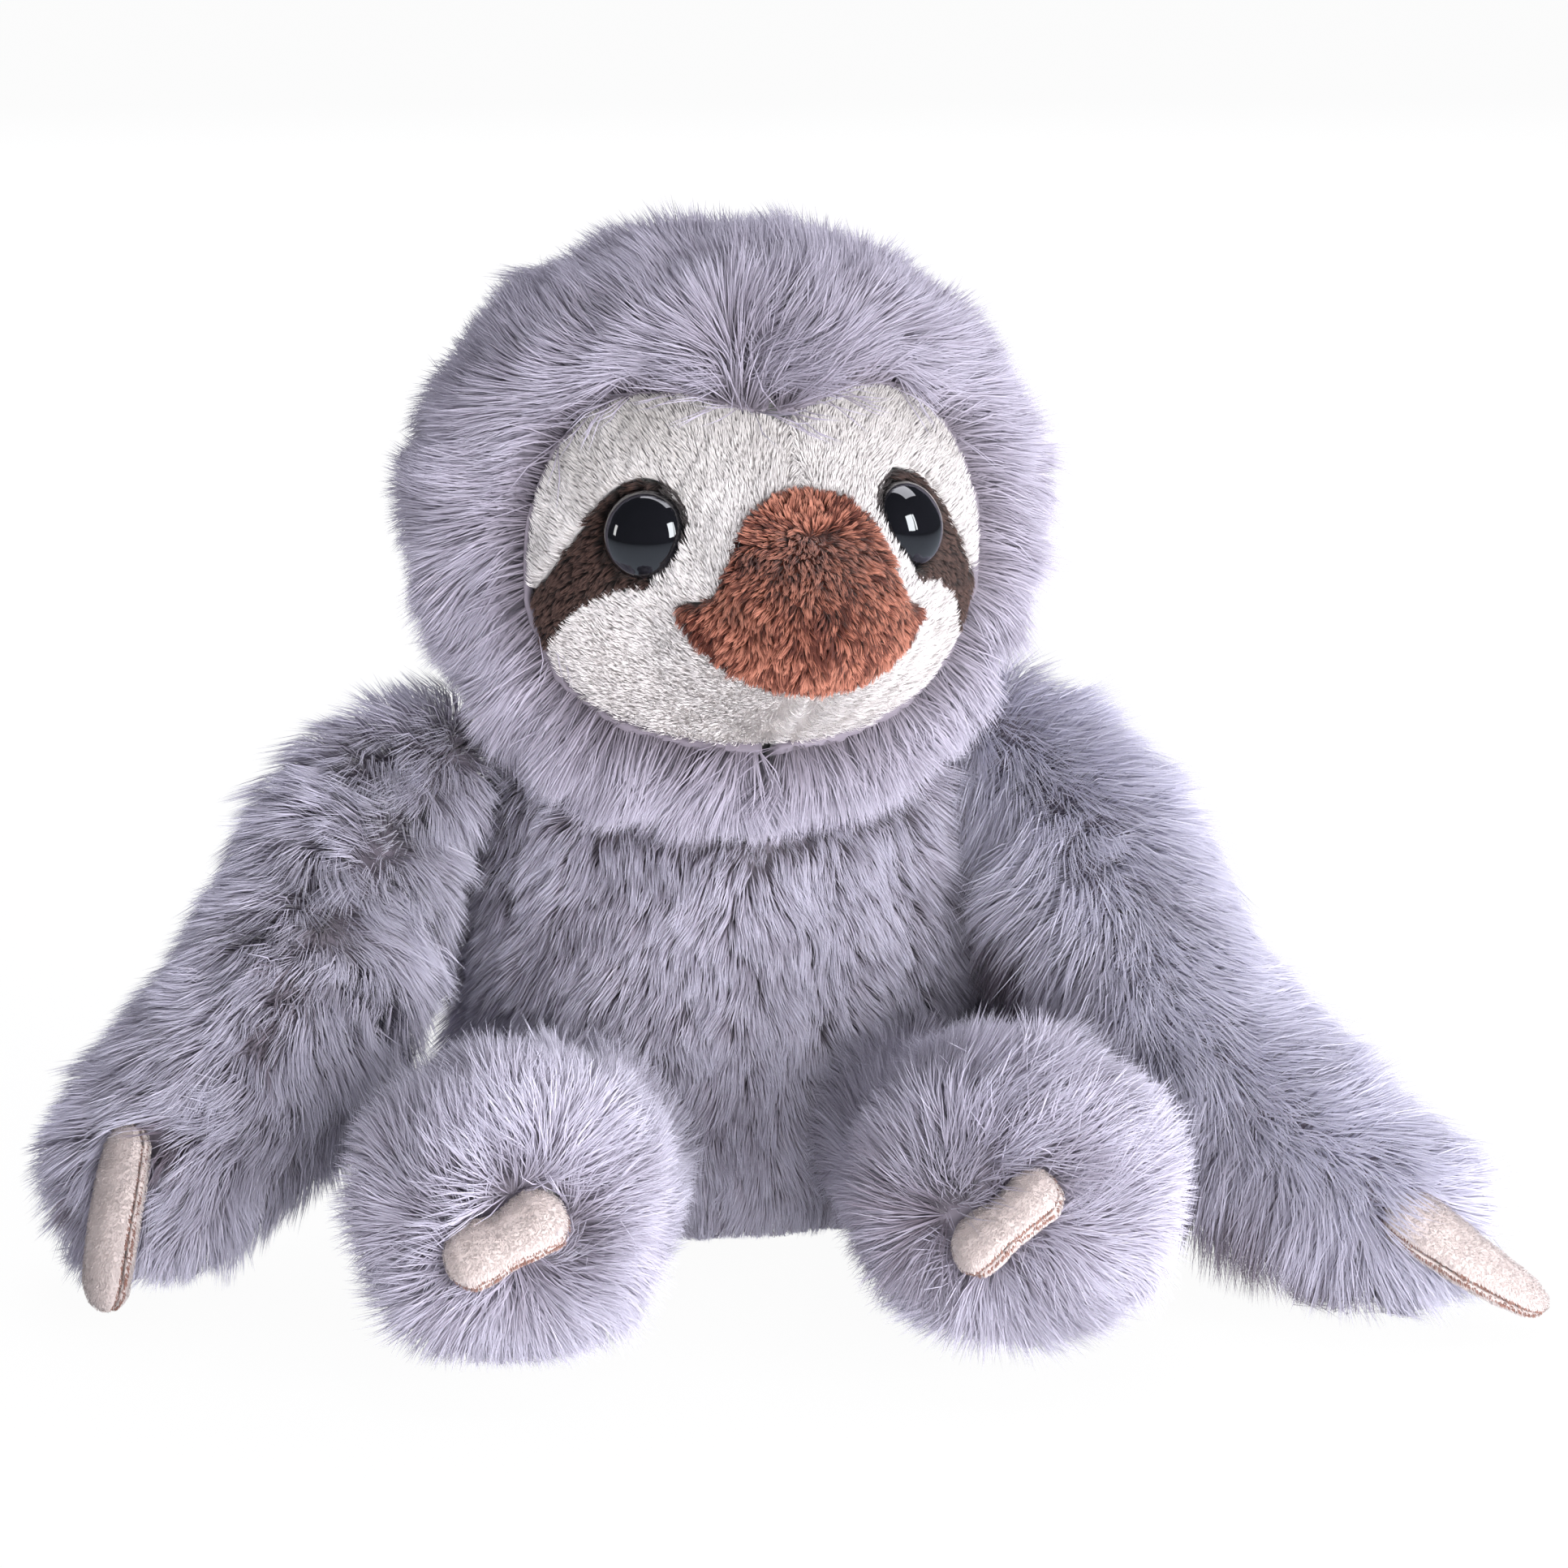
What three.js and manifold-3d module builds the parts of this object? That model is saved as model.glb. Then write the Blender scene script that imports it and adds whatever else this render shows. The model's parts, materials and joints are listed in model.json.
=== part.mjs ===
// A seated plush sloth, about 21 cm from hand to hand, built the way it is sewn.
// Long-pile covers, cut as panels, close round wads of fibre; the head, arms and legs
// have rounded roots that sit in hollows of the body, where the sewn seams let them swing.
// Millimetres, +Z up. The toy faces -Y and its left side is +X. The origin is the middle
// of the flat underside that it sits on.

import * as THREE from 'three';
import { mergeVertices } from 'three/addons/utils/BufferGeometryUtils.js';
import Module from 'manifold-3d';

const wasm = await Module();
wasm.setup();

// Gaps and allowances
const seamGap = 0.3;
const rootGap = 0.6;
const fillGap = 0.6;
const weldDistance = 0.0005;
const overrun = 60;

// Facets
const limbSides = 14;
const clawSides = 10;
const limbSteps = { root: 3, middle: 8, tip: 3 };
const legSteps = { root: 3, middle: 4, tip: 4 };
const clawSteps = { root: 2, middle: 4, tip: 2 };
const bodySides = 24;
const bodyLevels = 10;
const rootRoomSides = 22;
const dishSides = 32;
const turnedSides = 24;
const dishSteps = 4;
const faceColumns = 16;
const faceRings = 8;
const hoodRows = 12;
const headFillSides = 18;
const bridgeSteps = 7;
const lipSteps = 5;
const patchSteps = 20;
const eyeSides = 18;
const eyeSteps = 5;
const seatSteps = 24;
const bagSides = 20;
const bagRings = 8;

// Body
const bodyHeight = 80;
const bodyHalfWidth = 36;
const bellyDepth = 30;
const backDepth = 31;
const bodySetBack = 4;
const bodyPile = 5;
const seatHalfWidth = 23;
const seatHalfDepth = 19;
const neckRadius = 12.5;
const neckWadHeight = 11;
const pelletBagHalfWidth = 20;
const pelletBagHalfHeight = 7;

// Head
const headHeight = 99;
const headSetForward = 6;
const headTurn = 5;
const hoodRadius = 42;
const cheekFullness = 2;
const browSlope = 10;
const hoodLip = 1;
const faceRadius = 35.5;
const facePile = 2;
const faceHalfWidth = 37.6;
const faceHalfHeight = 26.5;
const muzzleSide = 2;
const muzzleRise = 11.5;
const muzzleHalfWidth = 15.3;
const muzzleHalfHeight = 13.3;
const muzzleDrop = 4;
const muzzleShoulder = 1.1;

// Eyes, their patches and the nose
const eyeDiameter = 12;
const eyeDome = 4.4;
const eyeRim = 0.5;
const eyeSink = 0.8;
const shankDiameter = 3;
const shankLength = 9;
const shankRing = 0.35;
const shankRings = 3;
const eyeSide = 18.6;
const eyeShift = -0.3;
const eyeRise = 6.3;
const washerDiameter = 12;
const washerThickness = 1.2;
const washerCollar = 1.6;
const patchWidth = 24;
const patchHeight = 28;
const noseHalfWidth = 15.9;
const noseHalfHeight = 10.7;
const nosePile = 0.8;
const noseTurn = -3.5;

// Arms
const shoulderSide = 40;
const shoulderSetBack = 3;
const shoulderDrop = 34;
const shoulderRadius = 10;
const armGirth = 15;
const armFlare = 20;
const armPile = 5;
const handRound = 13;
const leftReach = 84;
const rightReach = 72;

// Legs
const hipSide = 24;
const hipSetForward = 25;
const hipHeight = 17;
const hipRadius = 13;
const legGirth = 13.5;
const legFlare = 8;
const legPile = 5;
const footGirth = 19.7;
const footRound = 17;
const leftLegReach = 58;
const rightLegReach = 56;

// Claws
const clawPile = 1.2;
const clawHalfWidth = 4.4;
const clawHalfThickness = 2.9;
const clawRound = 3.2;
const handClawLength = 27;
const footClawLength = 18;

// Angles are named in degrees
const radians = THREE.MathUtils.degToRad;

// Finishes, one per kind of cloth or plastic
const finish = (color, roughness) => new THREE.MeshStandardMaterial({ color, roughness, metalness: 0 });
const longPile = finish(0xafa9b4, 0.95);
const tummyPile = finish(0x98919c, 0.95);
const creamVelour = finish(0xe9e1d8, 0.9);
const darkVelour = finish(0x3a2c27, 0.9);
const brownVelour = finish(0x7a4630, 0.9);
const clawVelour = finish(0xebd9c8, 0.9);
const fibreFill = finish(0xf2f1ee, 1);
const pelletCloth = finish(0xe4e0d6, 0.9);
const eyePlastic = finish(0x0b0b0d, 0.08);
const washerPlastic = finish(0xf0f0ec, 0.5);

// Numbers from start to end, both included
function count(start, end) {
  return Array.from({ length: end - start + 1 }, (_, i) => start + i);
}

// A table of evenly spaced shares, read between its entries as a smooth curve
function readShares(shares, share) {
  const place = THREE.MathUtils.clamp(share, 0, 1) * (shares.length - 1);
  const before = Math.min(Math.floor(place), shares.length - 2);
  const at = (i) => shares[THREE.MathUtils.clamp(i, 0, shares.length - 1)];
  const t = place - before;
  const [p0, p1, p2, p3] = [at(before - 1), at(before), at(before + 1), at(before + 2)];
  const slope = 0.5 * (p2 - p0) * t;
  const bend = (p0 - 2.5 * p1 + 2 * p2 - 0.5 * p3) * t * t;
  const twist = (1.5 * (p1 - p2) + 0.5 * (p3 - p0)) * t * t * t;
  return p1 + slope + bend + twist;
}

// Closed body from points and triangles: points that coincide are joined, triangles that
// have shrunk to a line are dropped, and the faces are turned to point out
function closedBody(points, triangles) {
  const loose = new THREE.BufferGeometry();
  loose.setAttribute('position', new THREE.Float32BufferAttribute(points.flatMap((p) => p.toArray()), 3));
  loose.setIndex(triangles.flat());
  const geometry = mergeVertices(loose, weldDistance);
  const index = geometry.getIndex().array;
  const position = geometry.getAttribute('position');
  const corner = (i) => new THREE.Vector3().fromBufferAttribute(position, i);
  const kept = [];
  let volume = 0;
  for (let i = 0; i < index.length; i += 3) {
    const [a, b, c] = [index[i], index[i + 1], index[i + 2]];
    if (a === b || b === c || c === a) continue;
    kept.push([a, b, c]);
    volume += corner(a).dot(corner(b).cross(corner(c)));
  }
  geometry.setIndex(kept.flatMap(([a, b, c]) => (volume > 0 ? [a, b, c] : [a, c, b])));
  return geometry;
}

// Two triangles for each square of a grid of rows and columns
function gridTriangles(rows, columns, first, closed) {
  const triangles = [];
  const across = closed ? columns : columns - 1;
  for (let r = 0; r < rows - 1; r++) {
    for (let c = 0; c < across; c++) {
      const next = (c + 1) % columns;
      const [a, b] = [first + r * columns + c, first + r * columns + next];
      const [d, e] = [a + columns, b + columns];
      triangles.push([a, b, e], [a, e, d]);
    }
  }
  return triangles;
}

// Tube whose first and last rows are single points
function tubeBody(rows) {
  return closedBody(rows.flat(), gridTriangles(rows.length, rows[0].length, 0, true));
}

// Cover with a thickness: an outer and an inner grid, joined along their open edges
function coverBody(outer, inner, closed = false) {
  const [rows, columns] = [outer.length, outer[0].length];
  const skin = rows * columns;
  const outerFaces = gridTriangles(rows, columns, 0, closed);
  const innerFaces = gridTriangles(rows, columns, skin, closed).map(([a, b, c]) => [a, c, b]);
  const edges = [];
  const wall = (from, to) => edges.push([from, from + skin, to + skin], [from, to + skin, to]);
  const wallBack = (from, to) => edges.push([from, from + skin, to], [from + skin, to + skin, to]);
  const across = closed ? columns : columns - 1;
  for (let c = 0; c < across; c++) {
    const next = (c + 1) % columns;
    wall(c, next);
    wall((rows - 1) * columns + next, (rows - 1) * columns + c);
  }
  for (let r = 0; r < rows - 1 && !closed; r++) {
    wallBack((r + 1) * columns, r * columns);
    wall(r * columns + columns - 1, (r + 1) * columns + columns - 1);
  }
  return closedBody([...outer.flat(), ...inner.flat()], [...outerFaces, ...innerFaces, ...edges]);
}

// Between drawn geometry and solids that can be cut
function toSolid(geometry) {
  const bare = new THREE.BufferGeometry();
  bare.setAttribute('position', geometry.getAttribute('position').clone());
  if (geometry.getIndex()) bare.setIndex(geometry.getIndex().clone());
  const merged = mergeVertices(bare, weldDistance);
  const triangles = [];
  const index = merged.getIndex().array;
  for (let i = 0; i < index.length; i += 3) {
    const [a, b, c] = [index[i], index[i + 1], index[i + 2]];
    if (a !== b && b !== c && c !== a) triangles.push(a, b, c);
  }
  return new wasm.Manifold(new wasm.Mesh({
    numProp: 3,
    vertProperties: new Float32Array(merged.getAttribute('position').array),
    triVerts: new Uint32Array(triangles),
  }));
}

function toGeometry(solid) {
  const mesh = solid.getMesh();
  const geometry = new THREE.BufferGeometry();
  geometry.setAttribute('position', new THREE.Float32BufferAttribute(mesh.vertProperties, 3));
  geometry.setIndex([...mesh.triVerts]);
  return geometry;
}

function cutFrom(geometry, ...tools) {
  return toGeometry(tools.reduce((solid, tool) => solid.subtract(toSolid(tool)), toSolid(geometry)));
}

function commonOf(geometry, ...tools) {
  return toGeometry(tools.reduce((solid, tool) => solid.intersect(toSolid(tool)), toSolid(geometry)));
}

// Half of space on one side of a plane square to an axis, as a large box
function halfSpace(axis, side, offset) {
  const box = new THREE.BoxGeometry(2 * overrun, 2 * overrun, 2 * overrun);
  const centre = new THREE.Vector3();
  centre.setComponent(axis, side * (overrun + offset));
  return box.translate(centre.x, centre.y, centre.z);
}

function ball(radius, centre, sides = rootRoomSides) {
  const rings = Math.ceil(sides / 2);
  return new THREE.SphereGeometry(radius, sides, rings).translate(centre.x, centre.y, centre.z);
}

function piece(name, geometry, material) {
  const mesh = new THREE.Mesh(geometry, material);
  mesh.name = name;
  return mesh;
}

// Sewn forms: arms, legs and claws
// A form follows a path. It is round at both ends, its width comes from a table of shares,
// and its seam runs along both sides, so that two panels close round the filling.

function formStations(form, inset) {
  const { root, tip, length, steps } = form;
  const quarter = Math.PI / 2;
  const stations = count(0, steps.root).map((i) => {
    const angle = (quarter * i) / steps.root;
    return { along: inset + (root - inset) * (1 - Math.cos(angle)), cap: Math.sin(angle) };
  });
  for (const i of count(1, steps.middle)) {
    stations.push({ along: root + ((length - tip - root) * i) / steps.middle, cap: 1 });
  }
  for (const i of count(1, steps.tip)) {
    const angle = (quarter * i) / steps.tip;
    stations.push({ along: length - tip + (tip - inset) * Math.sin(angle), cap: Math.cos(angle) });
  }
  return stations;
}

function formWidth(form, along) {
  const full = form.girth * readShares(form.girthShares, along / form.length);
  if (!form.flare) return full;
  const out = THREE.MathUtils.smoothstep(along, form.root, form.root + form.flare);
  return form.root + (full - form.root) * out;
}

function formRows(form, inset, from, to, lift = 0) {
  return formStations(form, inset).map(({ along, cap }) => {
    const share = THREE.MathUtils.clamp(along / form.length, 0, 1);
    const centre = form.path.getPointAt(share);
    const tangent = form.path.getTangentAt(share);
    const seam = form.seam.clone().addScaledVector(tangent, -form.seam.dot(tangent)).normalize();
    const normal = new THREE.Vector3().crossVectors(tangent, seam);
    const width = (formWidth(form, along) - inset) * cap;
    const thickness = (formWidth(form, along) * form.flatness - inset) * cap;
    return count(from, to).map((column) => {
      const angle = (2 * Math.PI * column) / form.sides;
      return centre.clone()
        .addScaledVector(seam, Math.cos(angle) * width)
        .addScaledVector(normal, Math.sin(angle) * thickness + lift);
    });
  });
}

function panelOf(form, side) {
  const half = form.sides / 2;
  const [from, to, lift] = side === 'upper' ? [0, half, seamGap / 2] : [half, form.sides, -seamGap / 2];
  return coverBody(formRows(form, 0, from, to, lift), formRows(form, form.pile, from, to, lift));
}

function fillingOf(form) {
  return tubeBody(formRows(form, form.pile + fillGap, 0, form.sides - 1));
}

function outlineOf(form, growth) {
  return tubeBody(formRows(form, -growth, 0, form.sides - 1));
}

// Path of a limb: straight through the root, then on through places given as shares of
// the limb's reach from the middle of its root
function limbPath(middle, rootRadius, reach, placeShares) {
  const places = placeShares.map(([x, y, z]) => new THREE.Vector3(x, y, z).multiplyScalar(reach).add(middle));
  const out = places[0].clone().sub(middle).normalize();
  return new THREE.CatmullRomCurve3([middle.clone().addScaledVector(out, -rootRadius), middle, ...places]);
}

// Arms: the left one hangs nearly straight, the right one bends at the elbow
const shoulderHeight = headHeight - shoulderDrop;
const leftShoulder = new THREE.Vector3(shoulderSide, shoulderSetBack, shoulderHeight);
const rightShoulder = new THREE.Vector3(-shoulderSide, shoulderSetBack, shoulderHeight);
const leftArmShares = [
  [0.08, -0.07, -0.06], [0.14, -0.18, -0.17], [0.18, -0.32, -0.3], [0.29, -0.47, -0.44],
  [0.4, -0.61, -0.54], [0.52, -0.72, -0.61], [0.65, -0.8, -0.63],
];
const rightArmShares = [
  [-0.11, -0.03, -0.05], [-0.17, -0.08, -0.14], [-0.22, -0.17, -0.27], [-0.35, -0.31, -0.47],
  [-0.59, -0.38, -0.68], [-0.76, -0.45, -0.71],
];
const leftArmGirthShares = [0.86, 0.88, 0.92, 0.98, 0.96, 0.9, 0.85, 0.81, 0.79, 0.79];
const rightArmGirthShares = [0.93, 0.95, 0.98, 1, 1.06, 1.1, 1.09, 1.03, 0.95, 0.9];

function armForm(shoulder, reach, placeShares, girthShares, seam) {
  const path = limbPath(shoulder, shoulderRadius, reach, placeShares);
  return {
    path,
    length: path.getLength(),
    seam,
    girth: armGirth,
    girthShares,
    flatness: 1,
    root: shoulderRadius,
    flare: armFlare,
    tip: handRound,
    pile: armPile,
    steps: limbSteps,
    sides: limbSides,
  };
}

const leftArm = armForm(
  leftShoulder, leftReach, leftArmShares, leftArmGirthShares, new THREE.Vector3(0.14, 0.96, -0.24),
);
const rightArm = armForm(
  rightShoulder, rightReach, rightArmShares, rightArmGirthShares, new THREE.Vector3(-0.14, -0.96, 0.24),
);

// Legs: short, pointing forward, each ending in a round foot
const leftHip = new THREE.Vector3(hipSide, -hipSetForward, hipHeight);
const rightHip = new THREE.Vector3(-hipSide, -hipSetForward, hipHeight);
const leftLegShares = [[0.04, -0.33, 0.015], [0.125, -0.7, 0.075], [0.21, -1, 0.14]];
const rightLegShares = [[-0.08, -0.32, 0.01], [-0.22, -0.63, 0.055], [-0.325, -0.93, 0.08]];
// How far each place along a leg has grown from the leg's girth to the foot's
const footGrowthShares = [0, 0, 0, 0, 0.16, 0.6, 0.92, 1, 1, 1];

function legForm(hip, reach, placeShares, seam) {
  const path = limbPath(hip, hipRadius, reach, placeShares);
  return {
    path,
    length: path.getLength(),
    seam,
    girth: legGirth,
    girthShares: footGrowthShares.map((share) => 1 + share * (footGirth / legGirth - 1)),
    flatness: 1,
    root: hipRadius,
    flare: legFlare,
    tip: footRound,
    pile: legPile,
    steps: legSteps,
    sides: limbSides,
  };
}

const leftLeg = legForm(leftHip, leftLegReach, leftLegShares, new THREE.Vector3(0.82, 0, 0.57));
const rightLeg = legForm(rightHip, rightLegReach, rightLegShares, new THREE.Vector3(0.9, 0, 0.44));

// Claws: flat velour bags, sewn into the seam of the paw
const leftHandClawShares = [1.05, 1.1, 1.08, 1.02, 0.92, 0.78, 0.6];
const rightHandClawShares = [0.78, 0.9, 0.98, 1, 1, 0.94, 0.84];
const leftFootClawShares = [0.92, 1.04, 1.04, 0.9, 0.96, 1.06, 0.98];
const rightFootClawShares = [0.96, 1.1, 1.08, 0.92, 1.06, 1.12, 1];

function clawForm(places, seam, girthShares, length) {
  const raw = new THREE.CatmullRomCurve3(places);
  const middle = raw.getPointAt(0.5);
  const stretch = length / raw.getLength();
  const path = new THREE.CatmullRomCurve3(
    places.map((place) => place.clone().sub(middle).multiplyScalar(stretch).add(middle)),
  );
  return {
    path,
    length: path.getLength(),
    seam,
    girth: clawHalfWidth,
    girthShares,
    flatness: clawHalfThickness / clawHalfWidth,
    root: clawRound,
    flare: 0,
    tip: clawRound,
    pile: clawPile,
    steps: clawSteps,
    sides: clawSides,
  };
}

// A place on a paw: along its path, then out from it in shares of the paw's girth there
function onPaw(form, alongShare, outShares) {
  const out = new THREE.Vector3(...outShares);
  return form.path.getPointAt(alongShare).addScaledVector(out, formWidth(form, alongShare * form.length));
}

const leftHandClaw = clawForm(
  [onPaw(leftArm, 0.84, [0.13, -0.74, 0.1]), onPaw(leftArm, 0.93, [0.24, -0.88, -0.22]),
    onPaw(leftArm, 1, [0.7, -0.55, -0.86])],
  new THREE.Vector3(-0.2, -0.85, -0.5), leftHandClawShares, handClawLength,
);
const rightHandClaw = clawForm(
  [onPaw(rightArm, 0.86, [-0.17, -0.72, 0.58]), onPaw(rightArm, 0.86, [-0.35, -1.08, -0.18]),
    onPaw(rightArm, 0.86, [-0.47, -1, -0.98])],
  new THREE.Vector3(0.5, -0.85, -0.1), rightHandClawShares, handClawLength,
);
const leftFootClaw = clawForm(
  [onPaw(leftLeg, 1, [-0.82, 0.18, -0.48]), onPaw(leftLeg, 1, [-0.5, -0.02, -0.14]),
    onPaw(leftLeg, 1, [-0.16, 0, 0.16])],
  new THREE.Vector3(0.2, -0.9, -0.35), leftFootClawShares, footClawLength,
);
const rightFootClaw = clawForm(
  [onPaw(rightLeg, 1, [-0.16, 0.07, -0.22]), onPaw(rightLeg, 1, [0.2, -0.01, -0.04]),
    onPaw(rightLeg, 1, [0.56, 0.07, 0.15])],
  new THREE.Vector3(0.3, -0.75, -0.58), rightFootClawShares, footClawLength,
);

function limbPieces(side, kind, form, claw, clawName) {
  const slot = outlineOf(claw, seamGap);
  return [
    piece(`${kind}_${side}_upper`, cutFrom(panelOf(form, 'upper'), slot), longPile),
    piece(`${kind}_${side}_under`, cutFrom(panelOf(form, 'under'), slot), tummyPile),
    piece(`${kind}_${side}_stuffing`, cutFrom(fillingOf(form), slot), fibreFill),
    piece(`${clawName}_${side}_upper`, panelOf(claw, 'upper'), clawVelour),
    piece(`${clawName}_${side}_under`, panelOf(claw, 'under'), clawVelour),
    piece(`${clawName}_${side}_wadding`, fillingOf(claw), fibreFill),
  ];
}

// Body: one egg-shaped form, cut into a front, a back and a flat seat panel
const bodyWidthShares = [0.8, 0.96, 1, 1, 1, 0.98, 0.95, 0.925, 0.89, 0.72, 0.38];
const bodyDepthShares = [0.76, 0.95, 1, 1, 0.98, 0.95, 0.92, 0.88, 0.83, 0.7, 0.4];

function bodyTube(inset) {
  const middle = (height) => new THREE.Vector3(0, bodySetBack, height);
  const [floor, top] = [inset, bodyHeight - inset];
  const rows = [count(1, bodySides).map(() => middle(floor))];
  for (const level of count(0, bodyLevels)) {
    const height = floor + ((top - floor) * level) / bodyLevels;
    const share = height / bodyHeight;
    const width = bodyHalfWidth * readShares(bodyWidthShares, share) - inset;
    const depthShare = readShares(bodyDepthShares, share);
    rows.push(count(1, bodySides).map((column) => {
      const angle = (2 * Math.PI * column) / bodySides;
      const depth = (Math.sin(angle) < 0 ? bellyDepth : backDepth) * depthShare - inset;
      return middle(height).add(new THREE.Vector3(Math.cos(angle) * width, Math.sin(angle) * depth, 0));
    }));
  }
  rows.push(count(1, bodySides).map(() => middle(top)));
  return tubeBody(rows);
}

function seatColumn(growth) {
  const column = new THREE.CylinderGeometry(1, 1, overrun, bodySides);
  column.rotateX(Math.PI / 2);
  column.scale(seatHalfWidth + growth, seatHalfDepth + growth, 1);
  return column.translate(0, bodySetBack, 0);
}

const headMiddle = new THREE.Vector3(0, -headSetForward, headHeight);
const dish = ball(hoodRadius + rootGap, headMiddle, dishSides);
const neckFloor = headHeight - hoodRadius - neckWadHeight;

function turned(profile, sides = turnedSides) {
  const geometry = new THREE.LatheGeometry(profile.map(([radius, height]) => new THREE.Vector2(radius, height)), sides);
  return geometry.rotateX(Math.PI / 2);
}

function neckColumn(growth) {
  const floor = neckFloor - headHeight - growth;
  const radius = neckRadius + growth;
  return turned([[0, floor], [radius, floor], [radius, 0], [0, 0]]);
}

function neckWad() {
  const dishRadius = hoodRadius + rootGap;
  const rim = Math.asin(neckRadius / dishRadius);
  const curve = count(0, dishSteps).map((i) => {
    const angle = rim * (1 - i / dishSteps);
    return [dishRadius * Math.sin(angle), -dishRadius * Math.cos(angle)];
  });
  curve[curve.length - 1][0] = 0;
  const floor = neckFloor - headHeight;
  const bevel = neckWadHeight / 4;
  return turned([[0, floor], [neckRadius - bevel, floor], [neckRadius, floor + bevel], ...curve]);
}

// The bag of pellets lies flat on the seat panel, with the fibre packed over it
function pelletBag(growth) {
  const bag = new THREE.SphereGeometry(1, bagSides, bagRings);
  const halfDepth = (pelletBagHalfWidth * seatHalfDepth) / seatHalfWidth;
  bag.scale(pelletBagHalfWidth + growth, halfDepth + growth, pelletBagHalfHeight + growth);
  bag.translate(0, bodySetBack, bodyPile + seamGap + pelletBagHalfHeight / 2);
  const floor = bodyPile + seamGap - growth;
  return commonOf(bag, halfSpace(2, 1, floor));
}

function bodyPieces() {
  const rootRooms = [
    ball(shoulderRadius + rootGap, leftShoulder), ball(shoulderRadius + rootGap, rightShoulder),
    ball(hipRadius + rootGap, leftHip), ball(hipRadius + rootGap, rightHip),
  ];
  const neckRoom = neckColumn(rootGap).translate(0, -headSetForward, headHeight);
  const shell = cutFrom(bodyTube(0), bodyTube(bodyPile), dish, neckRoom, ...rootRooms);
  const walls = cutFrom(shell, seatColumn(seamGap));
  const sideSeam = (side) => halfSpace(1, side, seamGap / 2).translate(0, bodySetBack, bodyHeight / 2);
  const stuffing = cutFrom(bodyTube(bodyPile + fillGap), dish, neckRoom, pelletBag(seamGap), ...rootRooms);
  return [
    piece('body_front', commonOf(walls, sideSeam(-1)), tummyPile),
    piece('body_back', commonOf(walls, sideSeam(1)), longPile),
    piece('seat_panel', commonOf(shell, seatColumn(0)), tummyPile),
    piece('body_stuffing', stuffing, fibreFill),
    piece('pellet_bag', pelletBag(0), pelletCloth),
  ];
}

// Head, drawn from its middle with the face to -Y
// A place on it is given by how far it lies from the middle of the face, sideways and up,
// measured along a ball of the face's radius.

function directionAt(side, up) {
  const away = Math.hypot(side, up) / faceRadius;
  const round = Math.atan2(side, up);
  return new THREE.Vector3(
    Math.sin(away) * Math.sin(round), -Math.cos(away), Math.sin(away) * Math.cos(round),
  );
}

function muzzleAt(side, up) {
  const spread = ((side - muzzleSide) / muzzleHalfWidth) ** 2 + ((up + muzzleDrop) / muzzleHalfHeight) ** 2;
  return muzzleRise * Math.exp(-(spread ** muzzleShoulder));
}

function facePoint(side, up, depth) {
  return directionAt(side, up).multiplyScalar(faceRadius + muzzleAt(side, up) - depth);
}

// Outline of the face: a heart, with its notch at the forehead
const faceOutlineShares = [
  [0, 0.8], [0.18, 0.88], [0.42, 1], [0.68, 0.93], [0.88, 0.66],
  [0.99, 0.22], [1, -0.2], [0.93, -0.6], [0.74, -0.88], [0.4, -1.01], [0, -1.02],
];
const faceEdge = new THREE.SplineCurve(
  faceOutlineShares.map(([side, up]) => new THREE.Vector2(side * faceHalfWidth, up * faceHalfHeight)),
);
const edgePoints = faceEdge.getSpacedPoints(faceColumns);
const faceRing = [
  ...edgePoints,
  ...edgePoints.slice(1, -1).reverse().map((p) => new THREE.Vector2(-p.x, p.y)),
];

function faceShell(rise) {
  const grid = (depth) => count(0, faceRings).map((ring) =>
    faceRing.map((edge) => facePoint((edge.x * ring) / faceRings, (edge.y * ring) / faceRings, depth)));
  return coverBody(grid(-rise), grid(facePile), true);
}

// Column through the face along an outline, widening from the head's middle
function faceColumn(outline) {
  const flat = THREE.ShapeUtils.area(outline) > 0 ? outline : [...outline].reverse();
  const [near, far] = [faceRadius / 2, faceRadius * 2];
  const points = [near, far].flatMap((reach) => flat.map((p) => directionAt(p.x, p.y).multiplyScalar(reach)));
  const size = flat.length;
  const lid = THREE.ShapeUtils.triangulateShape(flat, []).map(([a, b, c]) =>
    (THREE.ShapeUtils.area([flat[a], flat[b], flat[c]]) > 0 ? [a, b, c] : [a, c, b]));
  const walls = count(0, size - 1).flatMap((i) => {
    const next = (i + 1) % size;
    return [[i, next, next + size], [i, next + size, i + size]];
  });
  const lower = lid.map(([a, b, c]) => [a, c, b]);
  const upper = lid.map(([a, b, c]) => [a + size, b + size, c + size]);
  return closedBody(points, [...lower, ...upper, ...walls]);
}

function shrunk(outline, distance) {
  const turn = Math.sign(THREE.ShapeUtils.area(outline));
  return outline.map((point, i) => {
    const before = outline[(i + outline.length - 1) % outline.length];
    const after = outline[(i + 1) % outline.length];
    const along = after.clone().sub(before).normalize();
    return new THREE.Vector2(point.x - along.y * distance * turn, point.y + along.x * distance * turn);
  });
}

// Nose patch: a rounded bridge above, two upturned corners, a curved lower lip
const noseBridgeShares = [[0, 1.01], [0.3, 0.92], [0.5, 0.6], [0.6, 0.2], [0.67, -0.12], [0.8, -0.24], [1, -0.26]];
const noseLipShares = [[1, -0.26], [0.88, -0.52], [0.7, -0.76], [0.42, -0.94], [0, -1.02]];

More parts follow.
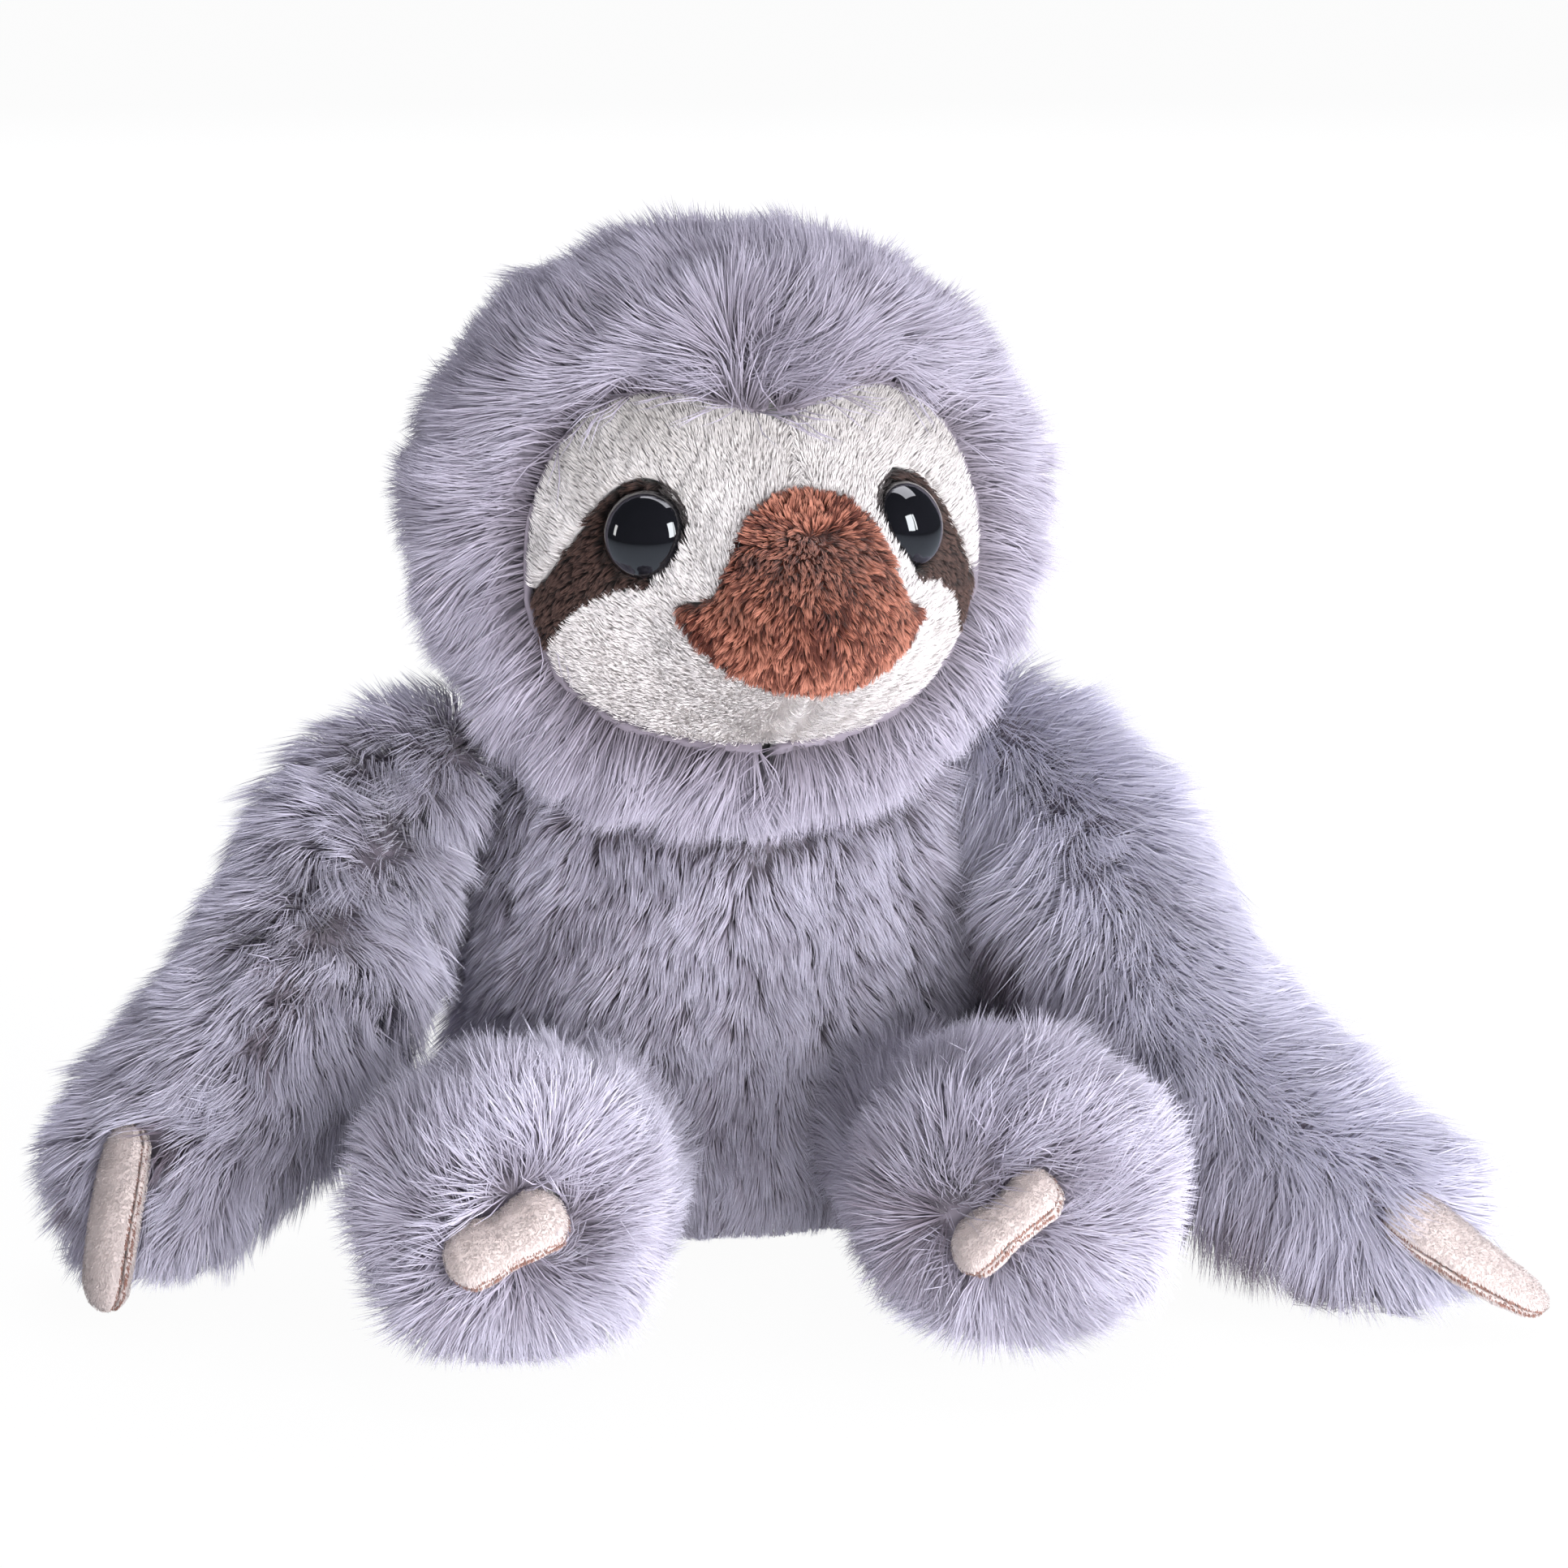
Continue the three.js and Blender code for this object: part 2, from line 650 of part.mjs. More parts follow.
function noseOutline() {
  const scale = ([side, up]) => new THREE.Vector2(side * noseHalfWidth, up * noseHalfHeight);
  const bridge = new THREE.SplineCurve(noseBridgeShares.map(scale)).getPoints(bridgeSteps);
  const lip = new THREE.SplineCurve(noseLipShares.map(scale)).getPoints(lipSteps);
  const half = [...bridge, ...lip.slice(1)];
  const whole = [...half, ...half.slice(1, -1).reverse().map((p) => new THREE.Vector2(-p.x, p.y))];
  const middle = new THREE.Vector2(0, 0);
  return whole.map((p) => p.rotateAround(middle, radians(noseTurn)).add(new THREE.Vector2(muzzleSide, 0)));
}

// Eye patch: round the eye, with a tail that runs down and back to the edge of the face
const patchShares = [
  [-0.12, 0.26], [0.08, 0.28], [0.28, 0.16], [0.45, -0.05], [0.62, -0.24], [0.8, -0.42], [1, -0.62],
  [0.86, -0.98], [0.66, -0.78], [0.5, -0.52], [0.3, -0.37], [0.1, -0.29], [-0.1, -0.26], [-0.08, 0],
];

function patchOutline(side) {
  const closed = new THREE.CatmullRomCurve3(
    patchShares.map(([x, y]) => new THREE.Vector3(
      eyeShift + side * (eyeSide + x * patchWidth), eyeRise + y * patchHeight, 0,
    )), true,
  );
  return closed.getPoints(patchSteps).slice(0, -1).map((p) => new THREE.Vector2(p.x, p.y));
}

// Where an eye sits: its place on the face, and the way the face looks there
function eyeSeat(side) {
  const step = eyeDiameter / 4;
  const [place, up] = [eyeShift + side * eyeSide, eyeRise];
  const along = facePoint(place + step, up, 0).sub(facePoint(place - step, up, 0));
  const rise = facePoint(place, up + step, 0).sub(facePoint(place, up - step, 0));
  const out = new THREE.Vector3().crossVectors(along, rise).normalize();
  const middle = facePoint(place, up, 0);
  const lowest = (radius, depth) => Math.min(...count(1, seatSteps).map((i) => {
    const angle = (2 * Math.PI * i) / seatSteps;
    const point = facePoint(place + Math.cos(angle) * radius, up + Math.sin(angle) * radius, depth);
    return point.sub(middle).dot(out);
  }));
  return {
    middle,
    out,
    domeDepth: lowest(eyeDiameter / 2, 0) - eyeSink,
    washerDepth: lowest(washerDiameter / 2, facePile) - seamGap,
  };
}

function eyeGroup(side) {
  const seat = eyeSeat(side);
  const group = new THREE.Group();
  group.position.copy(seat.middle);
  group.quaternion.setFromUnitVectors(new THREE.Vector3(0, 0, 1), seat.out);
  group.updateMatrix();
  return { group, seat };
}

function eyeBody(depth) {
  const radius = eyeDiameter / 2;
  const shank = shankDiameter / 2;
  const dome = count(0, eyeSteps).map((i) => {
    const angle = (Math.PI / 2) * (1 - i / eyeSteps);
    return [radius * Math.sin(angle), depth + eyeRim + eyeDome * Math.cos(angle)];
  });
  dome[dome.length - 1][0] = 0;
  const ringStep = shankLength / (2 * shankRings);
  const rings = count(1, shankRings).flatMap((i) => {
    const height = depth - shankLength + i * ringStep;
    return [[shank, height - shankRing], [shank + shankRing, height], [shank, height + shankRing]];
  });
  return turned([[0, depth - shankLength], [shank, depth - shankLength], ...rings,
    [shank, depth], [radius, depth], ...dome], eyeSides);
}

function washerBody(top) {
  const bore = shankDiameter / 2 + shankRing + seamGap;
  const outer = washerDiameter / 2;
  const floor = top - washerThickness;
  const collar = bore + washerThickness;
  return turned([[bore, top], [bore, floor - washerCollar], [collar, floor - washerCollar],
    [collar, floor], [outer, floor], [outer, top], [bore, top]], eyeSides);
}

function column(radius, floor, top) {
  return turned([[0, floor], [radius, floor], [radius, top], [0, top]], eyeSides);
}

function headPieces() {
  const eyes = { left: eyeGroup(1), right: eyeGroup(-1) };
  const eyeTools = [];
  const fillTools = [];
  for (const { group, seat } of Object.values(eyes)) {
    const place = (geometry) => geometry.applyMatrix4(group.matrix);
    const shankRoom = shankDiameter / 2 + shankRing + seamGap;
    eyeTools.push(place(column(eyeDiameter / 2 + seamGap, seat.domeDepth - seamGap, eyeDiameter)));
    eyeTools.push(place(column(shankRoom, -shankLength, eyeDiameter)));
    const washerFloor = seat.washerDepth - washerThickness - seamGap;
    fillTools.push(place(column(washerDiameter / 2 + seamGap, washerFloor, eyeDiameter)));
    fillTools.push(place(column(shankRoom + washerThickness + seamGap,
      seat.domeDepth - shankLength - seamGap, eyeDiameter)));
  }
  const nose = noseOutline();
  const patches = { left: patchOutline(1), right: patchOutline(-1) };
  const shell = faceShell(0);
  const face = cutFrom(shell, faceColumn(nose), faceColumn(patches.left), faceColumn(patches.right), ...eyeTools);
  const middleSeam = (side) => halfSpace(0, side, seamGap / 2).translate(muzzleSide, 0, 0);
  const patch = (outline) => cutFrom(commonOf(shell, faceColumn(shrunk(outline, seamGap))), ...eyeTools);
  const pieces = [
    piece('face_left', commonOf(face, middleSeam(1)), creamVelour),
    piece('face_right', commonOf(face, middleSeam(-1)), creamVelour),
    piece('nose_patch', commonOf(faceShell(nosePile), faceColumn(shrunk(nose, seamGap))), brownVelour),
    piece('eye_patch_left', patch(patches.left), darkVelour),
    piece('eye_patch_right', patch(patches.right), darkVelour),
    piece('hood_left', hoodBody(1), longPile),
    piece('hood_right', hoodBody(-1), longPile),
    piece('head_stuffing', cutFrom(headFill(), ...fillTools), fibreFill),
  ];
  for (const [side, { group, seat }] of Object.entries(eyes)) {
    group.add(piece(`eye_${side}`, eyeBody(seat.domeDepth), eyePlastic));
    group.add(piece(`eye_washer_${side}`, washerBody(seat.washerDepth), washerPlastic));
    pieces.push(group);
  }
  return pieces;
}

// Hood half: from the edge of the face round to the middle of the back of the head
// The cheeks fill out between these two levels, as shares of the head's radius
const cheekLevelShares = [-0.35, 0.15];
// Rows of the hood lie closer together near the face
const hoodRowPower = 1.25;

function hoodRadiusAt(direction, fromEdge) {
  const level = THREE.MathUtils.smoothstep(direction.z, ...cheekLevelShares);
  const full = hoodRadius + cheekFullness * direction.x ** 2 * level;
  const start = faceRadius + hoodLip;
  const rise = Math.sin((Math.PI / 2) * Math.min(1, fromEdge / browSlope));
  return start + (full - start) * rise;
}

function hoodBody(side) {
  const grid = (radiusAt) => count(0, hoodRows).map((row) => edgePoints.map((edge) => {
    const edgeAway = Math.hypot(edge.x, edge.y) + seamGap;
    const away = edgeAway + (Math.PI * faceRadius - edgeAway) * (row / hoodRows) ** hoodRowPower;
    const toEdge = edge.clone().normalize().multiplyScalar(away);
    const direction = directionAt(toEdge.x, toEdge.y);
    const point = direction.clone().multiplyScalar(radiusAt(direction, away - edgeAway));
    return new THREE.Vector3(side * (point.x + seamGap / 2), point.y, point.z);
  }));
  return coverBody(grid(hoodRadiusAt), grid(() => faceRadius - facePile));
}

function headFill() {
  return tubeBody(count(0, hoodRows).map((row) => count(1, headFillSides).map((column) => {
    const away = (Math.PI * faceRadius * row) / hoodRows;
    const round = (2 * Math.PI * column) / headFillSides;
    return facePoint(away * Math.sin(round), away * Math.cos(round), facePile + fillGap);
  })));
}

// The whole toy
const sloth = new THREE.Group();

const head = new THREE.Group();
head.position.copy(headMiddle);
head.rotation.z = radians(headTurn);
head.add(...headPieces());

const neck = new THREE.Group();
neck.position.copy(headMiddle);
neck.add(piece('neck_stuffing', neckWad(), fibreFill));

sloth.add(
  ...bodyPieces(),
  neck,
  head,
  ...limbPieces('left', 'arm', leftArm, leftHandClaw, 'hand_claw'),
  ...limbPieces('right', 'arm', rightArm, rightHandClaw, 'hand_claw'),
  ...limbPieces('left', 'leg', leftLeg, leftFootClaw, 'foot_claw'),
  ...limbPieces('right', 'leg', rightLeg, rightFootClaw, 'foot_claw'),
);
sloth.updateMatrixWorld(true);

export default sloth;
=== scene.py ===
# %% [markdown]
# # A plush sloth
# The real toy is a seated sloth of long grey fur, with a velour face, moulded eyes and
# soft claws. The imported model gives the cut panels, the stuffing and the joints. This
# lesson dresses each panel in its own cloth: fur that is rooted in a backing and combed,
# and velour with a short nap. The order is camera, cloths, tools for a panel, the panels
# from the hood to the claws, the eyes, what is inside, and light.

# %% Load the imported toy
import json
import math

import bpy
import numpy as np
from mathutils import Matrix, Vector
from mathutils.bvhtree import BVHTree
from mathutils.kdtree import KDTree


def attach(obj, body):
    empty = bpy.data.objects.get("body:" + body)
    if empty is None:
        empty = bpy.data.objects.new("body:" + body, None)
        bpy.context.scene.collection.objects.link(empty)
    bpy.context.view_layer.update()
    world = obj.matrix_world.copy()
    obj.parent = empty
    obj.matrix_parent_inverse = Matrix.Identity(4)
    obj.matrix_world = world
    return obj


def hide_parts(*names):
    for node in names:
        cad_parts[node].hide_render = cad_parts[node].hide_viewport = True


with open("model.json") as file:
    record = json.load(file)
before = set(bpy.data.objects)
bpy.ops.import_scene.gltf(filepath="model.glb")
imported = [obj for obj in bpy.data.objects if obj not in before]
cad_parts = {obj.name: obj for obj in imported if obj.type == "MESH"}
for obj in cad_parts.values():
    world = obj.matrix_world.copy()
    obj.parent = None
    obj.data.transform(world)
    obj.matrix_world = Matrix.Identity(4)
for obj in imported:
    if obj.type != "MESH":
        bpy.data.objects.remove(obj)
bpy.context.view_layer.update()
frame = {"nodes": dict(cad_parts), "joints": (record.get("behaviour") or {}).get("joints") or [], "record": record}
mm = 0.001
print("panels and inner pieces:", len(frame["nodes"]))

# %% [markdown]
# ## The camera
# The photograph is taken from a little above, and from the toy's right. A long lens keeps
# the paws, which are nearer, from growing too large. The camera is placed by angles round
# the point it looks at, because these are the numbers that a photographer would change.

# %% Camera
camera_turn = math.radians(-8)
camera_rise = math.radians(14)
camera_distance = 820 * mm
picture_width = 220.8 * mm
sensor_width = 36
target_side = 8.7 * mm
target_height = 61 * mm

right = Vector((math.cos(camera_turn), math.sin(camera_turn), 0))
ahead = Vector((-math.sin(camera_turn), math.cos(camera_turn), 0))
look = ahead * math.cos(camera_rise) + Vector((0, 0, -math.sin(camera_rise)))
target = right * target_side + Vector((0, 0, target_height))

lens = bpy.data.cameras.new("camera")
lens.sensor_width = sensor_width
lens.lens = sensor_width * camera_distance / picture_width
camera = bpy.data.objects.new("camera", lens)
bpy.context.scene.collection.objects.link(camera)
camera.location = target - look * camera_distance
camera.rotation_euler = look.to_track_quat("-Z", "Y").to_euler()
bpy.context.scene.camera = camera
print("lens", round(lens.lens, 1), "mm")

# %% [markdown]
# ## Colours
# The fur is dark brown at its roots and pale lilac-grey at its tips, so a parting or a
# pressed place shows as a dark streak. Each hair carries that in a small map of its own:
# across the map is the hair's tint, up the map is the way from root to tip. The cloth's
# colour is read from that map alone, so the whole coat needs only one material. A tint
# near nought is a place where the pile has parted down to its backing, and on some panels
# a low tint is painted shade. A tint of one is a painted glint on a thread.

# %% Cloth from a map of tint and height
map_name = "OFBake"
sheen_roughness = 0.5


def linear(red, green, blue):
    """A screen colour, 0 to 255, as the linear light that a shader takes."""
    shares = [value / 255 for value in (red, green, blue)]
    return [s / 12.92 if s <= 0.04045 else ((s + 0.055) / 1.055) ** 2.4 for s in shares]


def cloth(name, heights, tints, roughness, sheen):
    """heights: (way up, colour) from root to tip. tints: (tint, colour that multiplies)."""
    material = bpy.data.materials.new(name)
    material.use_nodes = True
    nodes, links = material.node_tree.nodes, material.node_tree.links
    shader = nodes["Principled BSDF"]
    shader.inputs["Roughness"].default_value = roughness
    shader.inputs["Sheen Weight"].default_value = sheen
    shader.inputs["Sheen Roughness"].default_value = sheen_roughness
    place = nodes.new("ShaderNodeUVMap")
    place.uv_map = map_name
    parts = nodes.new("ShaderNodeSeparateXYZ")
    links.new(place.outputs["UV"], parts.inputs["Vector"])
    ramps = []
    for stops, source in ((heights, "Y"), (tints, "X")):
        ramp = nodes.new("ShaderNodeValToRGB")
        ramp.color_ramp.elements.remove(ramp.color_ramp.elements[1])
        for i, (stop, color) in enumerate(stops):
            element = ramp.color_ramp.elements[0] if i == 0 else ramp.color_ramp.elements.new(stop)
            element.position = stop
            element.color = (*color, 1)
        links.new(parts.outputs[source], ramp.inputs["Fac"])
        ramps.append(ramp)
    mix = nodes.new("ShaderNodeMix")
    mix.data_type = "RGBA"
    mix.blend_type = "MULTIPLY"
    mix.inputs["Factor"].default_value = 1
    links.new(ramps[0].outputs["Color"], mix.inputs["A"])
    links.new(ramps[1].outputs["Color"], mix.inputs["B"])
    links.new(mix.outputs["Result"], shader.inputs["Base Color"])
    return material


# %% Fur and velour
# The top stop, above white, is a painted glint: only hairs drawn as glints reach it.
soft_tints = [(0, (0.3, 0.25, 0.26)), (0.1, (0.6, 0.58, 0.6)), (0.5, (0.93, 0.93, 0.94)),
              (0.96, (1, 1, 1)), (1, (1.25, 1.25, 1.2))]
fur = cloth(
    "long_fur",
    [(0, linear(80, 70, 74)), (0.3, linear(126, 118, 130)), (0.62, linear(171, 165, 182)),
     (1, linear(201, 199, 217))], soft_tints, roughness=0.6, sheen=0.2,
)
# The chin's painted light lifts its tints towards the top of this ramp, a little above white.
cream = cloth(
    "cream_velour",
    [(0, linear(196, 190, 189)), (0.5, linear(214, 209, 209)), (1, linear(223, 219, 221))],
    [(0, (0.06, 0.05, 0.05)), (0.04, (0.1, 0.08, 0.08)), (0.06, (0.6, 0.59, 0.58)),
     (0.5, (0.97, 0.97, 0.97)), (1, (1.08, 1.07, 1.06))], roughness=0.8, sheen=0.3,
)
dark = cloth(
    "dark_velour",
    [(0, linear(18, 11, 10)), (0.5, linear(42, 27, 23)), (1, linear(96, 71, 64))],
    soft_tints, roughness=0.75, sheen=0.2,
)
# The nose's palest tint stop, paler and bluer than white, is a painted highlight on its brightest hairs.
brown = cloth(
    "brown_velour",
    [(0, linear(52, 22, 15)), (0.45, linear(122, 66, 49)), (1, linear(186, 120, 99))],
    [(0.1, (0.24, 0.14, 0.12)), (0.5, (0.68, 0.61, 0.59)), (0.8, (1, 1, 1)),
     (0.95, (1.1, 1.2, 1.25))], roughness=0.7, sheen=0.2,
)
pale = cloth(
    "claw_velour",
    [(0, linear(182, 166, 165)), (0.5, linear(192, 180, 179)), (1, linear(200, 189, 188))],
    [(0, (0.36, 0.2, 0.16)), (0.12, (0.45, 0.28, 0.23)), (0.2, (0.95, 0.94, 0.93)),
     (1, (1, 1, 1))], roughness=0.8, sheen=0.3,
)
print("cloths:", [m.name for m in (fur, cream, dark, brown, pale)])

# %% [markdown]
# ## Tools for a sewn panel
# Each packed panel is a thick shell: its outer face is the dense part of the pile, its
# inner face the backing. The cloth needs the backing as a surface to grow from. A voxel
# remesh turns the loose triangles into even quads, smoothing takes the facets away, and
# the outer face is then sunk towards the stuffing, down to where the hairs are knotted.

# %% Arrays and meshes
def coordinates(mesh):
    places = np.empty(len(mesh.vertices) * 3, np.float32)
    mesh.vertices.foreach_get("co", places)
    return places.reshape(-1, 3).astype(float)


def unit(vectors):
    lengths = np.linalg.norm(vectors, axis=-1, keepdims=True)
    return vectors / np.maximum(lengths, 1e-12)


def tree_of(*nodes):
    """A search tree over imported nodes, for the nearest place on them."""
    places, faces = [], []
    for node in nodes:
        mesh = frame["nodes"][node].data
        first = len(places)
        places += [v.co.copy() for v in mesh.vertices]
        faces += [[first + i for i in p.vertices] for p in mesh.polygons]
    return BVHTree.FromPolygons(places, faces)


def nearest(tree, points):
    """Nearest places on a tree, and how far they are."""
    found = [tree.find_nearest(p) for p in points]
    return np.array([f[0] for f in found]), np.array([f[3] for f in found])


body_trees = {
    body: tree_of(*nodes) for body, nodes in frame["record"]["behaviour"]["bodies"].items()
}
print("trees:", sorted(body_trees))


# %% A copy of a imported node, as even quads
weld_gap = 0.01 * mm
softening = 0.5


def apply_all(piece):
    bpy.ops.object.select_all(action="DESELECT")
    piece.select_set(True)
    bpy.context.view_layer.objects.active = piece
    for modifier in list(piece.modifiers):
        bpy.ops.object.modifier_apply(modifier=modifier.name)


def remeshed(node, name, voxel, smoothing):
    """A new piece with an empty map. Welding first closes the gaps between its faces."""
    mesh = frame["nodes"][node].data.copy()
    mesh.materials.clear()
    piece = bpy.data.objects.new(name, mesh)
    bpy.context.scene.collection.objects.link(piece)
    weld = piece.modifiers.new("weld", "WELD")
    weld.merge_threshold = weld_gap
    grid = piece.modifiers.new("grid", "REMESH")
    grid.mode = "VOXEL"
    grid.voxel_size = voxel
    soften = piece.modifiers.new("soften", "SMOOTH")
    soften.factor = softening
    soften.iterations = smoothing
    apply_all(piece)
    while piece.data.uv_layers:
        piece.data.uv_layers.remove(piece.data.uv_layers[0])
    piece.data.uv_layers.new(name=map_name)
    bpy.ops.object.shade_smooth()
    return piece


# %% Sink the pile side to the knots
backing_share = 0.4
rising_share = 0.3
backing_tint = 0.4


def sink(piece, core, depth, thickness):
    """Moves the pile side towards the stuffing, and leaves the backing where it is."""
    places = coordinates(piece.data)
    base, away = nearest(core, places)
    out = unit(places - base)
    share = np.clip((away - thickness * backing_share) / (thickness * rising_share), 0, 1)[:, None]
    places -= out * share * depth
    piece.data.vertices.foreach_set("co", places.astype(np.float32).ravel())
    piece.data.update()


def set_map(mesh, tint, height):
    flat = np.tile([tint, height], len(mesh.loops)).astype(np.float32)
    mesh.uv_layers[map_name].data.foreach_set("uv", flat)


# %% [markdown]
# ## Where hair grows
# Hair grows on the pile side only, and round its edges too, so that the coats of two
# panels close over their seam. None grows where a panel lies in a hollow of another part,
# as the neck and the roots of the limbs do. The chin only rests on the chest, so both
# keep their fur there. The roots are strewn evenly over the area by a seeded random draw,
# so every run of the script grows the same coat.

# %% Roots on the pile side
hollow_gap = 1.4 * mm
edge_share = 0.35
resting = {"head", "torso"}


def pile_triangles(piece, core, body, depth):
    mesh = piece.data
    mesh.calc_loop_triangles()
    count = len(mesh.loop_triangles)
    corners = np.empty(count * 3, np.int32)
    mesh.loop_triangles.foreach_get("vertices", corners)
    corners = corners.reshape(-1, 3)
    places = coordinates(mesh)
    triangles = places[corners]
    faces = np.cross(triangles[:, 1] - triangles[:, 0], triangles[:, 2] - triangles[:, 0])
    middles = triangles.mean(axis=1)
    base, _ = nearest(core, middles)
    out = unit(middles - base)
    kept = (unit(faces) * out).sum(axis=1) > edge_share
    surface = middles + out * depth
    for other, tree in body_trees.items():
        if other != body and {other, body} != resting:
            candidates = np.flatnonzero(kept)
            _, away = nearest(tree, surface[candidates])
            kept[candidates[away < hollow_gap]] = False
    return corners[kept], np.linalg.norm(faces[kept], axis=1) / 2


def strewn(piece, corners, areas, dense, draw):
    """Roots and outward directions, so many to a square millimetre."""
    count = int(areas.sum() / mm ** 2 * dense)
    chosen = draw.choice(len(areas), count, p=areas / areas.sum())
    share = draw.random((count, 2))
    over = share.sum(axis=1) > 1
    share[over] = 1 - share[over]
    weights = np.column_stack([1 - share.sum(axis=1), share])[:, :, None]
    places = coordinates(piece.data)
    normals = np.empty(len(places) * 3, np.float32)
    piece.data.vertices.foreach_get("normal", normals)
    normals = normals.reshape(-1, 3)
    picked = corners[chosen]
    return (places[picked] * weights).sum(axis=1), unit((normals[picked] * weights).sum(axis=1))


# %% Soft irregular waves over the toy
wave_count = 7
shortest, longest = 0.8, 1.6


def waves(points, size, seed):
    """A smooth random value of about -1 to 1 at each point, with bumps of a given size."""
    draw = np.random.default_rng(seed)
    total = np.zeros(len(points))
    for _ in range(wave_count):
        way = unit(draw.normal(size=3)) * 2 * math.pi / (size * draw.uniform(shortest, longest))
        total += np.sin(points @ way + draw.uniform(0, 2 * math.pi))
    return total / math.sqrt(wave_count)


# %% [markdown]
# ## Hairs
# A hair starts square to the cloth and bends over to where it is combed. It is a flat
# tapering ribbon of one quad and a triangle, which is the fewest faces that still bend,
# since a large panel has tens of thousands of hairs. Its flat side looks outward, a
# little turned, so that the coat is lit as a soft surface and not as separate blades.
# Hairs gather in tufts, as the pile of a plush does when it is handled: each one leans to
# the hair in the middle of its tuft. Length, rise and tint vary in soft waves over the
# toy, and a little from hair to hair. A few hairs are painted paler, as painted glints.

# %% Bend, tuft and trim
steps = np.array([0, 0.55, 1])
root_lean = 0.3
rise_waves, rise_size = 0.35, 0.7
length_waves, length_size = 0.13, 0.5
shortest_hair, longest_hair = 0.72, 1.08
gather_power = 1.3
floor_gap = 0.4 * mm
tint_waves, tint_size = 0.16, 1.5
tint_grain = 0.16
middle_tint = 0.55
least_coat_tint, most_coat_tint = 0.1, 0.95


def hairs(roots, normals, lie, style, draw, seed):
    """Three points on each hair, the way in which it ends, and its tint."""
    count = len(roots)
    lean = waves(roots, style["wave"], seed)[:, None] * np.cross(normals, lie)
    lie = lie + lean * style["stray"] + draw.normal(size=(count, 3)) * style["frizz"]
    lie = unit(lie - (lie * normals).sum(axis=1, keepdims=True) * normals)
    rise = style["rise"] * (1 + rise_waves * waves(roots, style["wave"] * rise_size, seed + 1))
    start = unit(normals + root_lean * lie)
    end = unit(lie + normals * rise[:, None] + np.array([0, 0, -style["fall"]]))
    length = style["length"] * draw.uniform(shortest_hair, longest_hair, count)
    length = length * (1 + length_waves * waves(roots, style["wave"] * length_size, seed + 2))
    if "longer" in style:
        length = length * style["longer"](roots)
    bend = steps ** 2 / 2
    path = start[:, None] * (steps - bend)[None, :, None] + end[:, None] * bend[None, :, None]
    path = roots[:, None] + path * length[:, None, None]
    tufts = draw.choice(count, max(1, int(count * style["tufts"])), replace=False)
    search = KDTree(len(tufts))
    for i, tuft in enumerate(tufts):
        search.insert(roots[tuft], i)
    search.balance()
    leader = tufts[[search.find(root)[1] for root in roots]]
    pull = style["gather"] * steps ** gather_power
    path += (path[leader] - path) * pull[None, :, None]
    path[:, :, 2] = np.maximum(path[:, :, 2], floor_gap)
    change = tint_waves * waves(roots, style["wave"] * tint_size, seed + 3)
    change += draw.normal(size=count) * tint_grain
    change += (draw.random(count)[leader] - 0.5) * style["mottle"]
    tint = np.clip(middle_tint + change * style["variety"], least_coat_tint, most_coat_tint)
    # The few hairs drawn as glints get a tint of one, a painted glint.
    return path, end, np.where(draw.random(count) < style["painted_glint"], 1, tint)


# %% Ribbons
ribbon_shares = np.array([0.9, 1])
ribbon_turn = 0.35
ribbon_corners = 5
pattern = np.array([0, 1, 3, 2, 2, 3, 4])
pattern_steps = np.array([0, 0, 1, 1, 2])[pattern]
face_sizes = np.array([4, 3])


def ribbons(name, path, along, facing, tint, style, draw):
    """One mesh of flat hairs, which also carries the map of tint and height."""
    count = len(path)
    side = unit(np.cross(along, facing + draw.normal(size=(count, 3)) * ribbon_turn))
    half = side[:, None] * (ribbon_shares * style["width"] / 2)[None, :, None]
    places = np.empty((count, ribbon_corners, 3))
    places[:, 0:4:2] = path[:, :2] - half
    places[:, 1:4:2] = path[:, :2] + half
    places[:, 4] = path[:, 2]
    loops = (pattern[None] + ribbon_corners * np.arange(count)[:, None]).ravel()
    starts = np.concatenate([[0], np.cumsum(np.tile(face_sizes, count))[:-1]])
    mesh = bpy.data.meshes.new(name)
    mesh.vertices.add(count * ribbon_corners)
    mesh.loops.add(len(loops))
    mesh.polygons.add(len(starts))
    mesh.vertices.foreach_set("co", places.astype(np.float32).ravel())
    mesh.polygons.foreach_set("loop_start", starts.astype(np.int32))
    mesh.loops.foreach_set("vertex_index", loops.astype(np.int32))
    mesh.update(calc_edges=True)
    height = (style["root"] + (style["tip"] - style["root"]) * steps)[pattern_steps]
    flat = np.stack([np.repeat(tint, len(pattern)), np.tile(height, count)], axis=1)
    mesh.uv_layers.new(name=map_name)
    mesh.uv_layers[map_name].data.foreach_set("uv", flat.astype(np.float32).ravel())
    mesh.polygons.foreach_set("use_smooth", np.ones(len(starts), bool))
    piece = bpy.data.objects.new(name, mesh)
    bpy.context.scene.collection.objects.link(piece)
    return piece


# %% [markdown]
# ## One panel, start to end
# The panel's backing and its hairs are joined into one piece, which takes the place of
# the imported node and rides on the same part of the toy.

# %% Dress a panel
totals = {}


def body_of(node):
    bodies = frame["record"]["behaviour"]["bodies"]
    return next(body for body, nodes in bodies.items() if node in nodes)


def keep(piece, node, material):
    piece.data.materials.clear()
    piece.data.materials.append(material)
    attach(piece, body_of(node))
    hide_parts(node)


def kept_clear(path, capsules):
    """Which hairs stay outside every capsule: a straight line with a radius."""
    kept = np.ones(len(path), bool)
    for start, end, radius in capsules:
        share = np.clip((path - start) @ (end - start) / ((end - start) @ (end - start)), 0, 1)
        away = np.linalg.norm(path - (start + share[..., None] * (end - start)), axis=-1)
        kept &= away.min(axis=1) > radius
    return kept


